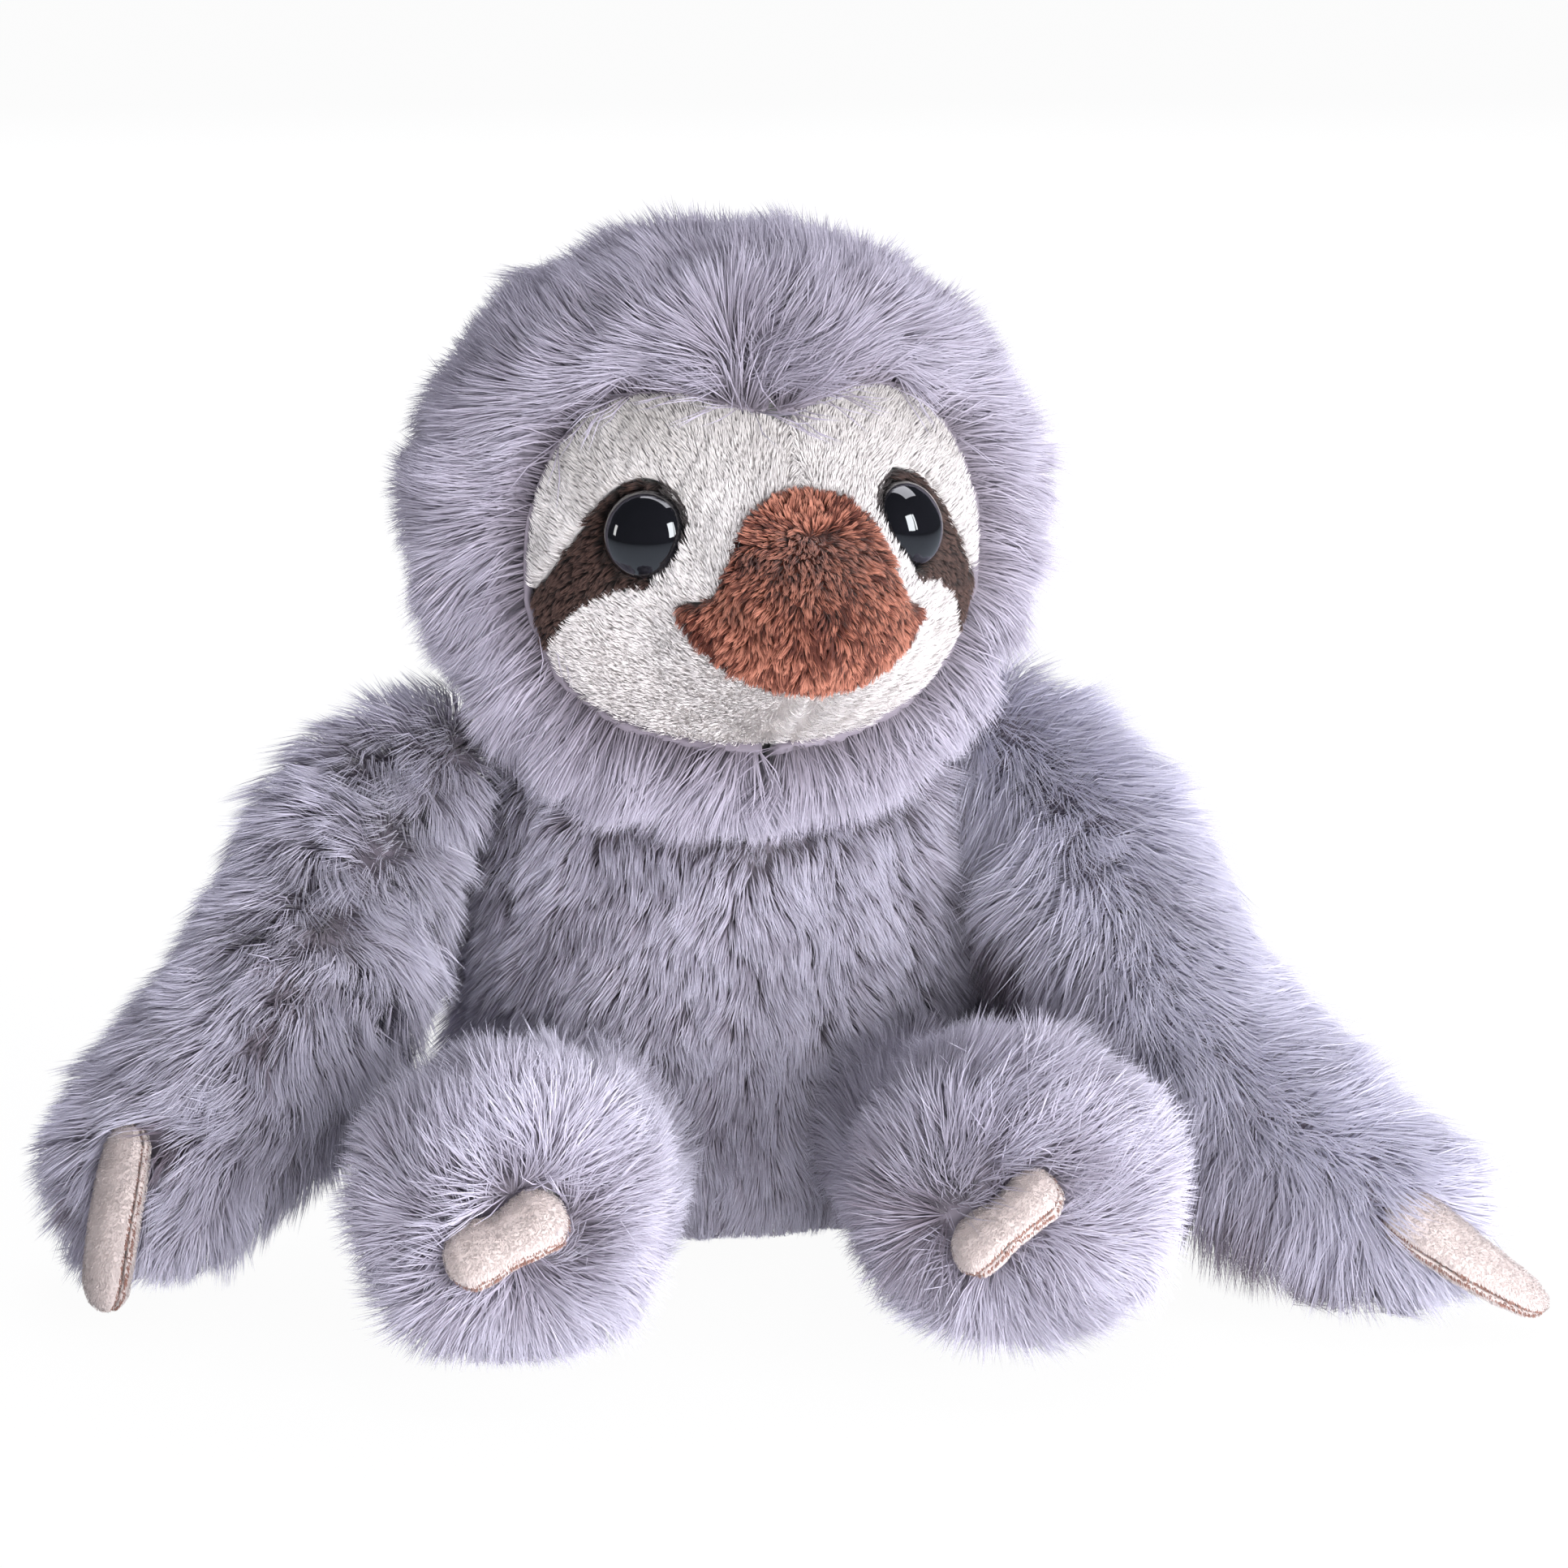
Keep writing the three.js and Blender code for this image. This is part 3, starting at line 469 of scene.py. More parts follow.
def dress(node, core, comb, style, material, shape=None, clear=(), paint=None):
    """Grows one panel's coat on its backing, and puts both in the panel's place.

    comb: the way that hair lies. shape: changes the backing. clear: capsules that stay
    free of hair. paint: changes the tint.
    """
    name = f"{node}_cloth"
    seed = sum(ord(letter) * (i + 1) for i, letter in enumerate(node))
    draw = np.random.default_rng(seed)
    piece = remeshed(node, name, style["voxel"], style["smoothing"])
    if shape:
        shape(piece)
    core_tree = tree_of(core)
    sink(piece, core_tree, style["depth"], style["thickness"])
    set_map(piece.data, backing_tint, style["backing"])
    corners, areas = pile_triangles(piece, core_tree, body_of(node), style["depth"])
    roots, normals = strewn(piece, corners, areas, style["dense"], draw)
    lie = comb(roots, normals)
    lie = unit(lie - (lie * normals).sum(axis=1, keepdims=True) * normals)
    path, along, tint = hairs(roots, normals, lie, style, draw, seed)
    if paint:
        tint = paint(roots, tint)
    kept = kept_clear(path, clear)
    path, along, tint, normals = path[kept], along[kept], tint[kept], normals[kept]
    coat = ribbons(f"{node}_hairs", path, along, normals, tint, style, draw)
    bpy.ops.object.select_all(action="DESELECT")
    coat.select_set(True)
    piece.select_set(True)
    bpy.context.view_layer.objects.active = piece
    bpy.ops.object.join()
    keep(piece, node, material)
    totals[name] = sum(len(p.vertices) - 2 for p in piece.data.polygons)
    print(name, "hairs", len(path), "triangles", totals[name])
    return piece


# %% [markdown]
# ## The styles of pile
# A style is a set of numbers. First come the backing's: the grid it is remeshed on, how
# often it is smoothed, how far it is sunk and the colour that shows between hairs. Then
# the hair's: how many to a square millimetre, their length and width, how they rise, fall,
# stray and gather, the colour at root and tip, and how much the tint varies. The back has
# the longest fur. On the tummy the pile is shorter and its dark roots show between many
# small tufts. Velour is the same thing made small: a nap of about 2 mm.

# %% Styles
long_fur = {
    "voxel": 1.6 * mm, "smoothing": 6, "depth": 3.8 * mm, "thickness": 5.6 * mm, "backing": 0.3,
    "dense": 8.5, "length": 11 * mm, "width": 0.16 * mm, "rise": 0.34, "fall": 0.12, "stray": 0.4,
    "frizz": 0.22, "wave": 13 * mm, "tufts": 0.03, "gather": 0.2, "root": 0.55, "tip": 1,
    # The glint value is the share of hairs with a painted glint.
    "variety": 0.7, "fill": 0.9, "painted_glint": 0.02, "mottle": 0.5,
}
back_fur = {**long_fur, "length": 13 * mm, "rise": 1, "root": 0.3, "tip": 0.88}
hood_fur = {**long_fur, "length": 11.5 * mm, "thickness": 9 * mm, "depth": 4.5 * mm, "rise": 0.3,
            "dense": 8, "gather": 0.18, "root": 0.3, "tip": 0.8, "stray": 0.3, "frizz": 0.2}
left_arm_fur = {**long_fur, "length": 12 * mm, "root": 0.95, "rise": 0.24, "frizz": 0.24}
right_arm_fur = {**long_fur, "rise": 0.4, "stray": 0.7, "frizz": 0.32, "wave": 10 * mm,
                 "gather": 0.38, "root": 0.4, "variety": 0.9}
foot_fur = {**long_fur, "rise": 0.45, "stray": 0.8, "frizz": 0.42, "gather": 0.16, "root": 0.42,
            "tip": 0.93}
tummy_fur = {**long_fur, "length": 7.5 * mm, "tufts": 0.045, "gather": 0.42, "rise": 0.4,
             "dense": 9, "root": 0.14, "depth": 2.6 * mm, "wave": 10 * mm, "variety": 1}
seat_fur = {**long_fur, "length": 5 * mm, "depth": 2 * mm, "rise": 0.05, "fall": 0, "dense": 3}
nap = {
    "voxel": 0.6 * mm, "smoothing": 8, "depth": 0.5 * mm, "thickness": 2.6 * mm, "backing": 0.6,
    "dense": 18, "length": 1.8 * mm, "width": 0.15 * mm, "rise": 0.2, "fall": 0, "stray": 0.2,
    "frizz": 0.12, "wave": 6 * mm, "tufts": 0.1, "gather": 0.2, "root": 0.4, "tip": 1,
    "variety": 0.7, "fill": 0.95, "painted_glint": 0, "mottle": 0.15,
}
nose_nap = {**nap, "length": 2.4 * mm, "dense": 30, "width": 0.14 * mm, "rise": 0.26, "tufts": 0.09,
            "gather": 0.62, "thickness": 3.4 * mm, "backing": 0.3, "root": 0.1, "stray": 0.4,
            "frizz": 0.2, "wave": 3.5 * mm, "variety": 2.2, "mottle": 0.6}
patch_nap = {**nap, "length": 1.8 * mm, "dense": 20, "backing": 0.1, "root": 0, "mottle": 0.6,
             "tufts": 0.06, "gather": 0.45, "variety": 1.4}
claw_nap = {**nap, "voxel": 0.45 * mm, "smoothing": 10, "depth": 0.15 * mm, "thickness": 1.8 * mm,
            "dense": 26, "length": 0.6 * mm, "width": 0.13 * mm, "rise": 0.15, "backing": 0.6,
            "root": 0.8, "gather": 0, "stray": 0.1, "frizz": 0.1, "variety": 0.3}

# %% [markdown]
# ## The head's own measures
# The face is a ball with a muzzle that swells from its middle. A place on it is given by
# how far it lies sideways and up from the middle of the face, along the ball.

# %% Places on the face
nod = next(joint for joint in frame["joints"] if joint["name"] == "head_nod")
head_middle = np.array(nod["pos_m"])
head_side = np.array(nod["axis"])
face_way = np.array([head_side[1], -head_side[0], 0])
head_up = np.array([0, 0, 1])
face_radius = 35.5 * mm
muzzle_side = 2 * mm
muzzle_rise = 11.5 * mm
muzzle_half_width = 15.3 * mm
muzzle_half_height = 13.3 * mm
muzzle_drop = 4 * mm
muzzle_shoulder = 1.1
face_skin = 0.9 * mm


def on_face(points):
    """Sideways and up, along the ball, and the distance from the head's middle."""
    local = points - head_middle
    reach = np.linalg.norm(local, axis=1)
    x, y, z = local @ head_side, local @ face_way, local @ head_up
    away = np.arccos(np.clip(y / reach, -1, 1)) * face_radius
    flat = np.maximum(np.hypot(x, z), 1e-9)
    return away * x / flat, away * z / flat, reach


def muzzle(side, up):
    spread = ((side - muzzle_side) / muzzle_half_width) ** 2
    spread += ((up + muzzle_drop) / muzzle_half_height) ** 2
    return muzzle_rise * np.exp(-spread ** muzzle_shoulder)


def true_face(rise):
    """Brings a panel's outer side onto the smooth face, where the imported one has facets."""
    def shape(piece):
        places = coordinates(piece.data)
        side, up, reach = on_face(places)
        smooth = face_radius + muzzle(side, up) + rise
        outer = np.abs(reach - smooth) < face_skin
        places[outer] = head_middle + unit(places[outer] - head_middle) * smooth[outer, None]
        piece.data.vertices.foreach_set("co", places.astype(np.float32).ravel())
        piece.data.update()
    return shape


# %% [markdown]
# ## The hood
# The fur of the hood is combed away from the face on all sides, down at the cheeks and
# the back, where it hangs over the shoulders as a ruff. Above the notch of the face it
# parts, a little to the toy's right.

# %% Hood
parting_side = -5 * mm
parting_up = 26 * mm
parting_width = 7 * mm
parting_height = 10 * mm
parting_push = 1.1
parting_sharpness = 3
under_depth = 28 * mm
ruff_drop = 22 * mm
ruff_width = 9 * mm
ruff_fall = 0.8
ruff_spread = 0.9
ruff_cross = 2
ruff_seam_width = 2
hood_fall = 0.25
nape_fall = 0.9
cheek_hold = 0.5
seam_lean = 1.1
seam_width = 1.4 * mm


def seam_cross(side):
    """Close to a seam the pile leans across it, so that it hides it."""
    return -seam_lean * np.sign(side) * np.exp(-(side / seam_width) ** 2)


def comb_hood(points, normals):
    away = -face_way + 0 * points
    side, up, _ = on_face(points)
    off = (side - parting_side) / parting_width
    near = np.exp(-off ** 2 - ((up - parting_up) / parting_height) ** 2)
    away = away + head_side * (parting_push * np.tanh(parting_sharpness * off) * near)[:, None]
    under = np.clip(-up / under_depth, 0, 1)
    sideways = ruff_spread * np.tanh(side / ruff_width)
    sideways += ruff_cross * seam_cross(side / ruff_seam_width)
    away += head_side * (under * sideways)[:, None]
    behind = np.clip((points - head_middle) @ -face_way / face_radius, 0, 1)[:, None]
    cheek = np.clip((points[:, 2:] - head_middle[2]) / -ruff_drop, 0, 1)
    fall = hood_fall + nape_fall * behind + ruff_fall * cheek
    return away * (1 - cheek_hold * cheek) - head_up * fall


rim_reach = 30 * mm
rim_shade_width = 17 * mm
rim_shade = 0.55


def rim_paint(roots, tint):
    """The pile is darker close to the face."""
    side, up, _ = on_face(roots)
    away = np.clip((np.hypot(side, up) - rim_reach) / rim_shade_width, 0, 1)
    return tint * (1 - rim_shade * (1 - away) ** 2)


for side in ("left", "right"):
    dress(f"hood_{side}", "head_stuffing", comb_hood, hood_fur, fur, paint=rim_paint)

# %% [markdown]
# ## Face, nose and eye patches
# The velour's nap on the face lies up and outwards. On the nose it fans up and out over
# the bridge and streams down below it. On the dark patches it runs back from the eye. The
# brow is painted greyer, as shade, and the chin paler, as painted light from below. A dark
# line of tucked cloth rings each dome.

# %% Face
nose_fan_up = 6 * mm
nose_fan_width = 20 * mm
nose_fan_height = 5 * mm
face_comb_up = 0.8
face_comb_back = 0.2
patch_comb_down = 0.8
nose_lift = 0.8 * mm


def comb_face(points, normals):
    """Outwards and up, but across the middle seam, which it hides."""
    side, up, _ = on_face(points)
    across = side / face_radius + seam_cross(side - muzzle_side)
    return head_side * across[:, None] + head_up * face_comb_up - face_way * face_comb_back


def comb_nose(points, normals):
    side, up, _ = on_face(points)
    across = (side - muzzle_side) / nose_fan_width
    rise = np.tanh((up - nose_fan_up) / nose_fan_height)
    return head_side * across[:, None] + head_up * rise[:, None]


def comb_patch(points, normals):
    side, _, _ = on_face(points)
    return head_side * np.sign(side)[:, None] - head_up * patch_comb_down


lid_reach = 0.9 * mm
# The brow's tint is lowered as painted shade, and the chin's raised as painted light.
brow_height = 24 * mm
painted_brow_shade = 0.85
chin_depth = 14 * mm
painted_chin_light = 0.45
least_tint = 0.07


def face_paint(node):
    """Dark next to the dome, where dark cloth is tucked in. Painted shade on the brow, painted light on the chin.
    """
    tree = tree_of(node)

    def paint(roots, tint):
        _, away = nearest(tree, roots)
        _, up, _ = on_face(roots)
        # Painted shade on the brow, then painted light on the chin.
        tint = tint * (1 - painted_brow_shade * np.clip(up / brow_height, 0, 1))
        tint = np.minimum(tint + painted_chin_light * np.clip(-up / chin_depth, 0, 1), 1)
        return np.where(away < lid_reach, 0, np.maximum(tint, least_tint))
    return paint


for side in ("left", "right"):
    dress(f"face_{side}", "head_stuffing", comb_face, nap, cream, true_face(0),
          paint=face_paint(f"eye_{side}"))
    dress(f"eye_patch_{side}", "head_stuffing", comb_patch, patch_nap, dark, true_face(0))
dress("nose_patch", "head_stuffing", comb_nose, nose_nap, brown, true_face(nose_lift))

# %% [markdown]
# ## Body
# The tummy's fur hangs down and a little outwards, and the back's too. It is longer on
# the flank beside the left arm, where it closes the gap to the arm. Under the seat it is
# pressed flat by the toy's weight.

# %% Body
body_half_width = 40 * mm
body_spread = 0.6


def comb_down(points, normals):
    spread = points[:, :1] / body_half_width
    return np.hstack([spread * body_spread, 0 * spread, -1 + 0 * spread])


def comb_seat(points, normals):
    """Backwards."""
    return np.array([0, 1.0, 0]) + 0 * points


flank_side = 22 * mm
flank_width = 9 * mm
flank_growth = 1.2


def flank(roots):
    """The fur is longer where the front turns to the toy's left, beside the arm."""
    return 1 + flank_growth * np.clip((roots[:, 0] - flank_side) / flank_width, 0, 1)


dress("body_front", "body_stuffing", comb_down, {**tummy_fur, "longer": flank}, fur)
dress("body_back", "body_stuffing", comb_down, back_fur, fur)
dress("seat_panel", "body_stuffing", comb_seat, seat_fur, fur)

# %% [markdown]
# ## Arms
# The seam of each arm faces forward. The fur parts along it, and lies over and under the
# arm and on towards the paw. On the right arm the parting shows dark spots of backing. The
# left arm is longer-haired on the side that faces the body, and is painted darker there,
# as shade.

# %% Arms
front_seam = np.array([-0.14, -0.96, 0.24])
claw_share = 0.8
claw_clearance = 3.6 * mm
line_steps = 5
arm_spread = {"left": 1.1, "right": 0.65}


def joint_place(name):
    return np.array(next(joint for joint in frame["joints"] if joint["name"] == name)["pos_m"])


def line_of(kind, side):
    """Middles of a limb's stuffing, in steps from its joint to its far end."""
    start = joint_place(f"{kind}_{side}_swing")
    places = coordinates(frame["nodes"][f"{kind}_{side}_stuffing"].data)
    reach = np.linalg.norm(places - start, axis=1)
    end = places[np.argmax(reach)]
    share = (places - start) @ (end - start) / ((end - start) @ (end - start))
    step = np.clip((share * line_steps).astype(int), 0, line_steps - 1)
    return [start] + [places[step == i].mean(axis=0) for i in range(line_steps)]


def along_line(points, line):
    """The nearest stretch of a bent line: its way, and how far off it each point is."""
    best = np.full(len(points), np.inf)
    way, off = np.zeros_like(points), np.zeros_like(points)
    for start, end in zip(line[:-1], line[1:]):
        step = end - start
        share = np.clip((points - start) @ step / (step @ step), 0, 1)[:, None]
        apart = points - (start + share * step)
        away = np.linalg.norm(apart, axis=1)
        closer = away < best
        best[closer], way[closer], off[closer] = away[closer], unit(step), apart[closer]
    return way, off


def comb_arm(line, spread):
    def comb(points, normals):
        around = -(front_seam - (normals @ front_seam)[:, None] * normals)
        way, _ = along_line(points, line)
        return way + spread * around
    return comb


def capsule(node):
    """The straight line through a claw, with a radius, to keep hair off it."""
    places = coordinates(frame["nodes"][node].data)
    middle = places.mean(axis=0)
    _, _, ways = np.linalg.svd(places - middle, full_matrices=False)
    spread = (places - middle) @ ways[0]
    start, end = (middle + ways[0] * reach * claw_share for reach in (spread.min(), spread.max()))
    return start, end, claw_clearance


spot_size = 8 * mm
spot_share = 0.5
spot_reach = 1.7 * mm
spot_tint = 0.02


def spot_paint(other):
    """Dark spots along the seam, where the pile has parted down to its backing."""
    tree = tree_of(other)

    def paint(roots, tint):
        _, away = nearest(tree, roots)
        spots = waves(roots, spot_size, len(other)) > spot_share
        return np.where((away < spot_reach) & spots, spot_tint, tint)
    return paint


# The left arm's side towards the body is painted darker, as shade, and its hair is longer there.
shaded_way = np.array([-0.75, 0, -0.66])
shaded_reach = 8 * mm
painted_shade_depth = 0.98
shaded_growth = 0.6


def shaded(roots):
    """0 to 1 round the left arm to the side that faces the body."""
    _, off = along_line(roots, line_of("arm", "left"))
    return np.clip(off @ shaded_way / shaded_reach, 0, 1)


def painted_arm_shade(other):
    """Painted shade: the side of the arm towards the body is darkened."""
    return lambda roots, tint: tint * (1 - painted_shade_depth * shaded(roots))


def shaded_length(roots):
    return 1 + shaded_growth * shaded(roots)


arm_styles = {
    "left": ({**left_arm_fur, "longer": shaded_length}, painted_arm_shade),
    "right": (right_arm_fur, spot_paint),
}
for side, (style, paint) in arm_styles.items():
    claw = capsule(f"hand_claw_{side}_wadding")
    for half, other in (("upper", "under"), ("under", "upper")):
        comb = comb_arm(line_of("arm", side), arm_spread[side])
        dress(f"arm_{side}_{half}", f"arm_{side}_stuffing", comb, style, fur,
              clear=[claw], paint=paint(f"arm_{side}_{other}"))

# %% [markdown]
# ## Legs
# The feet point at the viewer. Their fur spreads from the claw in the middle of the sole
# to all sides, and on along the leg. It has parted round the claw, so it is darker there.
# The toy's right of each foot is painted darker, as shade away from the key lamp.

# %% Legs
def comb_foot(side, claw):
    middle = line_of("leg", side)[-1]
    pole = unit((claw[0] + claw[1]) / 2 - middle)

    def comb(points, normals):
        return -(pole - (normals @ pole)[:, None] * normals) + 0 * points
    return comb


sole_reach = 12 * mm
sole_patch = 6 * mm
sole_seed = 5
sole_parted = 0.4
sole_shade = 0.8
# The toy's right of each foot, away from the key lamp, is painted darker as shade.
painted_side_reach = 14 * mm
painted_side_shade = {"left": 0.95, "right": 0.5}


def sole_paint(claw, side):
    """Dark roots show where the pile has parted round the claw. The foot's right is painted darker, as shade."""
    start, end, _ = claw

    def paint(roots, tint):
        _, off = along_line(roots, [start, end])
        near = np.exp(-(np.linalg.norm(off, axis=1) / sole_reach) ** 2)
        parted = np.clip(sole_parted + waves(roots, sole_patch, sole_seed), 0, 1)
        shaded_side_share = np.clip(((start + end)[0] / 2 - roots[:, 0]) / painted_side_reach, 0, 1)
        return tint * (1 - sole_shade * near * parted) * (1 - painted_side_shade[side] * shaded_side_share)
    return paint


for side in ("left", "right"):
    claw = capsule(f"foot_claw_{side}_wadding")
    for half in ("upper", "under"):
        dress(f"leg_{side}_{half}", f"leg_{side}_stuffing", comb_foot(side, claw), foot_fur,
              fur, clear=[claw], paint=sole_paint(claw, side))

# %% [markdown]
# ## Claws
# Each claw is two halves of pale velour, sewn with a reddish thread that shows as a line
# along the seam. The nap near the other half takes the thread's colour.

# %% Claws
thread_reach = 0.85 * mm
thread_tint = 0.06
least_claw_tint = 0.3
claw_comb = np.array([0.2, -0.4, -1.0])


def seam_paint(other):
    tree = tree_of(other)

    def paint(roots, tint):
        _, away = nearest(tree, roots)
        nap_tint = least_claw_tint + (1 - least_claw_tint) * tint
        return np.where(away < thread_reach, thread_tint, nap_tint)
    return paint


def comb_claw(points, normals):
    return claw_comb + 0 * points


for kind in ("hand", "foot"):
    for side in ("left", "right"):
        stem = f"{kind}_claw_{side}"
        for half, other in (("upper", "under"), ("under", "upper")):
            dress(f"{stem}_{half}", f"{stem}_wadding", comb_claw, claw_nap, pale,
                  paint=seam_paint(f"{stem}_{other}"))

# %% [markdown]
# ## Eyes
# A safety eye is a glossy black dome on a ridged post, pushed through the cloth and held
# by a washer. The dome is what catches the light, so it is spun afresh with many steps
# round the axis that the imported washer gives.

# %% Eyes
eye_roughness = 0.04
eye_cloud = 300
eye_dark = linear(9, 9, 12)
eye_pale = linear(15, 15, 19)


def clouded(material, low, high, scale):
    """Gives a material a colour that drifts between two in soft clouds."""
    material.use_nodes = True
    nodes, links = material.node_tree.nodes, material.node_tree.links
    shader = nodes["Principled BSDF"]
    place = nodes.new("ShaderNodeTexCoord")
    cloud = nodes.new("ShaderNodeTexNoise")
    cloud.inputs["Scale"].default_value = scale
    shade = nodes.new("ShaderNodeValToRGB")
    shade.color_ramp.elements[0].color = (*low, 1)
    shade.color_ramp.elements[1].color = (*high, 1)
    links.new(place.outputs["Object"], cloud.inputs["Vector"])
    links.new(cloud.outputs["Fac"], shade.inputs["Fac"])
    links.new(shade.outputs["Color"], shader.inputs["Base Color"])
    return shader, cloud


glossy = bpy.data.materials.new("eye_plastic")
gloss, _ = clouded(glossy, eye_dark, eye_pale, eye_cloud)
gloss.inputs["Roughness"].default_value = eye_roughness
gloss.inputs["Specular IOR Level"].default_value = 1

dome_steps = 16
turn_steps = 48
post_radius = 1.5 * mm
ridge = 0.35 * mm
ridge_shares = (0.25, 0.45, 0.65)
rim_share = 0.98
sharp_edge = math.radians(35)


def axis_of(node):
    """Middle and axis of a flat ring: the way in which it is thinnest."""
    places = coordinates(frame["nodes"][node].data)
    middle = places.mean(axis=0)
    _, _, ways = np.linalg.svd(places - middle, full_matrices=False)
    axis = ways[2] * np.sign(ways[2] @ (middle - head_middle))
    return middle, axis


def eye(side):
    node = f"eye_{side}"
    middle, axis = axis_of(f"eye_washer_{side}")
    places = coordinates(frame["nodes"][node].data) - middle
    height = places @ axis
    radius = np.linalg.norm(places - height[:, None] * axis, axis=1)
    wide = radius.max()
    rim = height[radius > wide * rim_share]
    back, front, top, end = rim.min(), rim.max(), height.max(), height.min()
    profile = [(0, end), (post_radius, end)]
    for share in ridge_shares:
        level = end + (back - end) * share
        profile += [(post_radius, level - ridge), (post_radius + ridge, level),
                    (post_radius, level + ridge)]
    profile += [(post_radius, back), (wide - ridge, back), (wide, back + ridge / 2),
                (wide, front)]
    for i in range(1, dome_steps + 1):
        angle = math.pi / 2 * i / dome_steps
        profile.append((wide * math.cos(angle), front + (top - front) * math.sin(angle)))
    mesh = bpy.data.meshes.new(f"{node}_glass")
    edges = [(i, i + 1) for i in range(len(profile) - 1)]
    mesh.from_pydata([(r, 0, h) for r, h in profile], edges, [])
    piece = bpy.data.objects.new(f"{node}_dome", mesh)
    bpy.context.scene.collection.objects.link(piece)
    bpy.ops.object.select_all(action="DESELECT")
    piece.select_set(True)
    bpy.context.view_layer.objects.active = piece
    bpy.ops.object.mode_set(mode="EDIT")
    bpy.ops.mesh.select_all(action="SELECT")
    bpy.ops.mesh.spin(steps=turn_steps, angle=2 * math.pi, center=(0, 0, 0), axis=(0, 0, 1))
    bpy.ops.mesh.select_all(action="SELECT")
    bpy.ops.mesh.remove_doubles(threshold=weld_gap)
    bpy.ops.mesh.normals_make_consistent(inside=False)
    bpy.ops.object.mode_set(mode="OBJECT")
    turn = Vector((0, 0, 1)).rotation_difference(Vector(axis)).to_matrix().to_4x4()
    turn.translation = Vector(middle)
    piece.data.transform(turn)
    bpy.ops.object.shade_smooth_by_angle(angle=sharp_edge)
    piece.data.materials.append(glossy)
    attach(piece, "head")
    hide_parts(node)
    totals[piece.name] = len(piece.data.polygons) * 2
    print(piece.name, "radius", round(wide / mm, 2), "mm")


for side in ("left", "right"):
    eye(side)


# %% [markdown]
# ## What is inside
# The fibre and the bag of pellets are hidden, but they are part of the toy. The fibre is a
# lumpy white wad, and the pellets press through their bag in smaller lumps.

# %% Fibre, pellets and washers
cloud_detail = 6
bump_depth = 0.3 * mm
wad_voxel = 1.8 * mm
wad_smoothing = 3
wad_depth = 0.15 * mm
fibre_lumps = 7 * mm
pellet_lumps = 3 * mm


def inner_material(name, low, high, scale, bump, roughness):
    material = bpy.data.materials.new(name)
    shader, cloud = clouded(material, low, high, scale)
    shader.inputs["Roughness"].default_value = roughness
    cloud.inputs["Detail"].default_value = cloud_detail
    nodes, links = material.node_tree.nodes, material.node_tree.links
    height = nodes.new("ShaderNodeBump")
    height.inputs["Strength"].default_value = bump
    height.inputs["Distance"].default_value = bump_depth
    links.new(cloud.outputs["Fac"], height.inputs["Height"])
    links.new(height.outputs["Normal"], shader.inputs["Normal"])
    return material


fibre = inner_material(
    "white_fibre", linear(226, 226, 222), linear(250, 250, 248), scale=900, bump=0.8, roughness=0.9)
pellets = inner_material(
    "pellet_cloth", linear(204, 200, 188), linear(232, 228, 216), scale=420, bump=1, roughness=0.85)
washer = inner_material(
    "washer_plastic", linear(232, 232, 226), linear(240, 240, 236), scale=200, bump=0.05,
    roughness=0.45)


def wad(node, material, lumps):
    piece = remeshed(node, f"{node}_wad", wad_voxel, wad_smoothing)
    places = coordinates(piece.data)
    normals = np.empty(len(places) * 3, np.float32)
    piece.data.vertices.foreach_get("normal", normals)
    depth = (waves(places, lumps, len(node)) - 1) * wad_depth
    places += normals.reshape(-1, 3) * depth[:, None]
    piece.data.vertices.foreach_set("co", places.astype(np.float32).ravel())
    piece.data.update()
    piece.data.uv_layers.remove(piece.data.uv_layers[0])
    keep(piece, node, material)
    totals[piece.name] = len(piece.data.polygons) * 2


for node in frame["nodes"]:
    if node.endswith(("_stuffing", "_wadding")):
        wad(node, fibre, fibre_lumps)
wad("pellet_bag", pellets, pellet_lumps)
for side in ("left", "right"):
    for material_slot in frame["nodes"][f"eye_washer_{side}"].material_slots:
        material_slot.material = washer
print("triangles", sum(totals.values()))

# %% [markdown]
# ## Floor and light
# The photograph has a plain white ground and large soft lamps. The floor shows white to
# the camera and still keeps part of the toy's shadow. To glossy rays it is a pale blue
# glow that fades with distance, a painted reflection that shows in the eyes. The key lamp
# stands on the toy's left, the low one in front, and the bounce near the ground, for the
# chin. The rim lamp lights the top, and the back lamp what the photograph doesn't show.
# The two panes light nothing: they are the studio windows that show as marks on the eyes.

# %% Floor
floor_size = 6.0
floor_grey = 0.9
floor_roughness = 0.9
floor_glow_share = 0.96
# The floor's glow to glossy rays is a painted reflection, bright near the toy and dim far off.
painted_glow_near, painted_glow_far = 0.1, 1.1
painted_glow_bright, painted_glow_dim = 0.7, 0.06
painted_glow_color = (0.75, 0.85, 1)

bpy.ops.object.select_all(action="DESELECT")
bpy.ops.mesh.primitive_plane_add(size=floor_size, location=(0, 0, 0))
floor = bpy.context.object
floor.name = "floor"
paper = bpy.data.materials.new("floor_paper")
paper.use_nodes = True
nodes, links = paper.node_tree.nodes, paper.node_tree.links
matt = nodes["Principled BSDF"]
matt.inputs["Base Color"].default_value = (floor_grey, floor_grey, floor_grey, 1)
matt.inputs["Roughness"].default_value = floor_roughness
glow = nodes.new("ShaderNodeEmission")
glow.inputs["Strength"].default_value = 1
rays = nodes.new("ShaderNodeLightPath")
amount = nodes.new("ShaderNodeMath")
amount.operation = "MULTIPLY"
amount.inputs[1].default_value = floor_glow_share
blend = nodes.new("ShaderNodeMixShader")
links.new(rays.outputs["Is Camera Ray"], amount.inputs[0])
links.new(amount.outputs[0], blend.inputs["Fac"])
links.new(matt.outputs["BSDF"], blend.inputs[1])
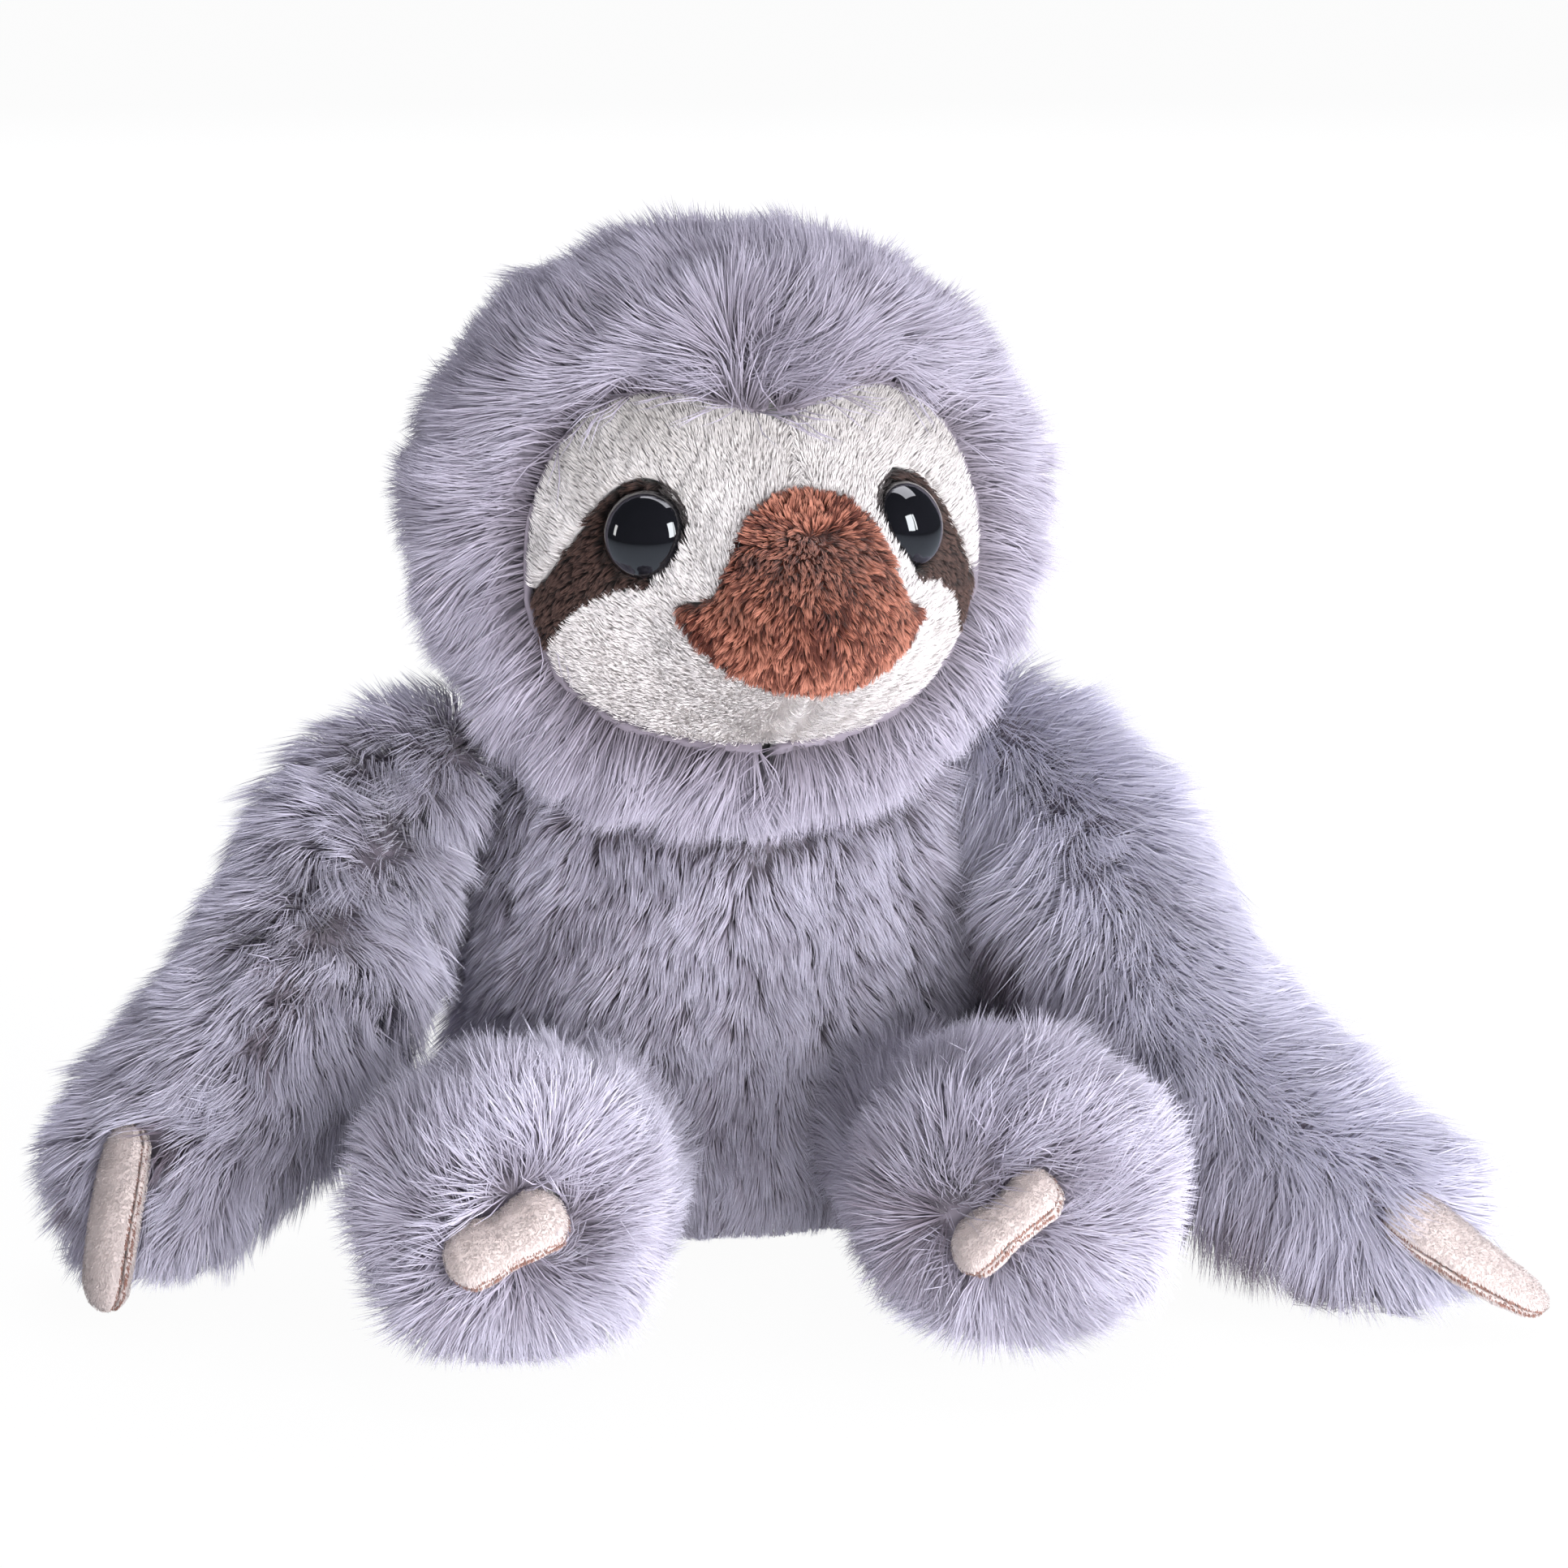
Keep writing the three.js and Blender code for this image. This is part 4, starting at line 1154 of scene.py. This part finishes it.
links.new(glow.outputs["Emission"], blend.inputs[2])
far = nodes.new("ShaderNodeVectorMath")
far.operation = "LENGTH"
fade = nodes.new("ShaderNodeMapRange")
for socket, value in (("From Min", painted_glow_near), ("From Max", painted_glow_far),
                      ("To Min", painted_glow_bright), ("To Max", painted_glow_dim)):
    fade.inputs[socket].default_value = value
# Painted reflection: glossy rays see this glow in place of the floor.
painted_reflection = nodes.new("ShaderNodeEmission")
painted_reflection.inputs["Color"].default_value = (*painted_glow_color, 1)
place = nodes.new("ShaderNodeTexCoord")
links.new(place.outputs["Object"], far.inputs[0])
links.new(far.outputs["Value"], fade.inputs["Value"])
links.new(fade.outputs["Result"], painted_reflection.inputs["Strength"])
mirrored = nodes.new("ShaderNodeMixShader")
links.new(rays.outputs["Is Glossy Ray"], mirrored.inputs["Fac"])
links.new(blend.outputs["Shader"], mirrored.inputs[1])
links.new(painted_reflection.outputs["Emission"], mirrored.inputs[2])
links.new(mirrored.outputs["Shader"], nodes["Material Output"].inputs["Surface"])
floor.data.materials.append(paper)


# %% Lamps
plain = (1, 1, 1)
cool = (0.92, 0.92, 1)
faintly_cool = (0.94, 0.94, 1)
window_blue = (0.92, 0.96, 1)


def lamp(name, place, size, power, color=plain, mirrored=False, lighting=True):
    """A panel of light that faces the toy: place and size in metres, power in watts."""
    light = bpy.data.lights.new(name, "AREA")
    light.shape = "RECTANGLE"
    light.size, light.size_y = size
    light.energy = power
    light.color = color
    lit = bpy.data.objects.new(name, light)
    bpy.context.scene.collection.objects.link(lit)
    lit.location = place
    lit.rotation_euler = (target - Vector(place)).to_track_quat("-Z", "Y").to_euler()
    lit.visible_glossy = mirrored
    lit.visible_diffuse = lighting
    lit.visible_camera = False


lamp("key", (0.92, -0.5, 0.4), (0.5, 0.5), 7)
lamp("low", (0.38, -0.95, 0.2), (0.7, 0.36), 5.4)
lamp("bounce", (0.05, -0.32, 0.01), (0.4, 0.2), 2.4)
lamp("rim", (0.2, 0.3, 0.9), (0.9, 0.5), 6, cool, mirrored=True)
lamp("back", (0.1, 1.0, 0.5), (0.9, 0.7), 9, faintly_cool)
lamp("window", (-0.8, 0.1, 0.22), (0.1, 0.2), 0.4, mirrored=True)
for pane, place, size, power in (
    ("wide_pane", (0.66, -0.8, 0.46), (0.36, 0.6), 8),
    ("narrow_pane", (0.84, -0.62, 0.46), (0.08, 0.54), 1.4),
):
    lamp(pane, place, size, power, window_blue, mirrored=True, lighting=False)

# %% World
sky_color, sky_strength = (0.94, 0.94, 1, 1), 0.23
room_color, room_strength = (0.5, 0.55, 0.7, 1), 0.12

world = bpy.data.worlds.new("studio")
bpy.context.scene.world = world
world.use_nodes = True
nodes, links = world.node_tree.nodes, world.node_tree.links
sky = nodes["Background"]
sky.inputs["Color"].default_value = sky_color
sky.inputs["Strength"].default_value = sky_strength
white = nodes.new("ShaderNodeBackground")
white.inputs["Color"].default_value = (1, 1, 1, 1)
white.inputs["Strength"].default_value = 1
dark_room = nodes.new("ShaderNodeBackground")
dark_room.inputs["Color"].default_value = room_color
dark_room.inputs["Strength"].default_value = room_strength
rays = nodes.new("ShaderNodeLightPath")
mirror = nodes.new("ShaderNodeMixShader")
links.new(rays.outputs["Is Glossy Ray"], mirror.inputs["Fac"])
links.new(sky.outputs["Background"], mirror.inputs[1])
links.new(dark_room.outputs["Background"], mirror.inputs[2])
shown = nodes.new("ShaderNodeMath")
shown.operation = "MAXIMUM"
shown.use_clamp = True
links.new(rays.outputs["Is Camera Ray"], shown.inputs[0])
links.new(rays.outputs["Is Transmission Ray"], shown.inputs[1])
blend = nodes.new("ShaderNodeMixShader")
links.new(shown.outputs[0], blend.inputs["Fac"])
links.new(mirror.outputs["Shader"], blend.inputs[1])
links.new(white.outputs["Background"], blend.inputs[2])
links.new(blend.outputs["Shader"], nodes["World Output"].inputs["Surface"])
bpy.context.scene.view_settings.view_transform = "Standard"
print("view:", bpy.context.scene.view_settings.view_transform)
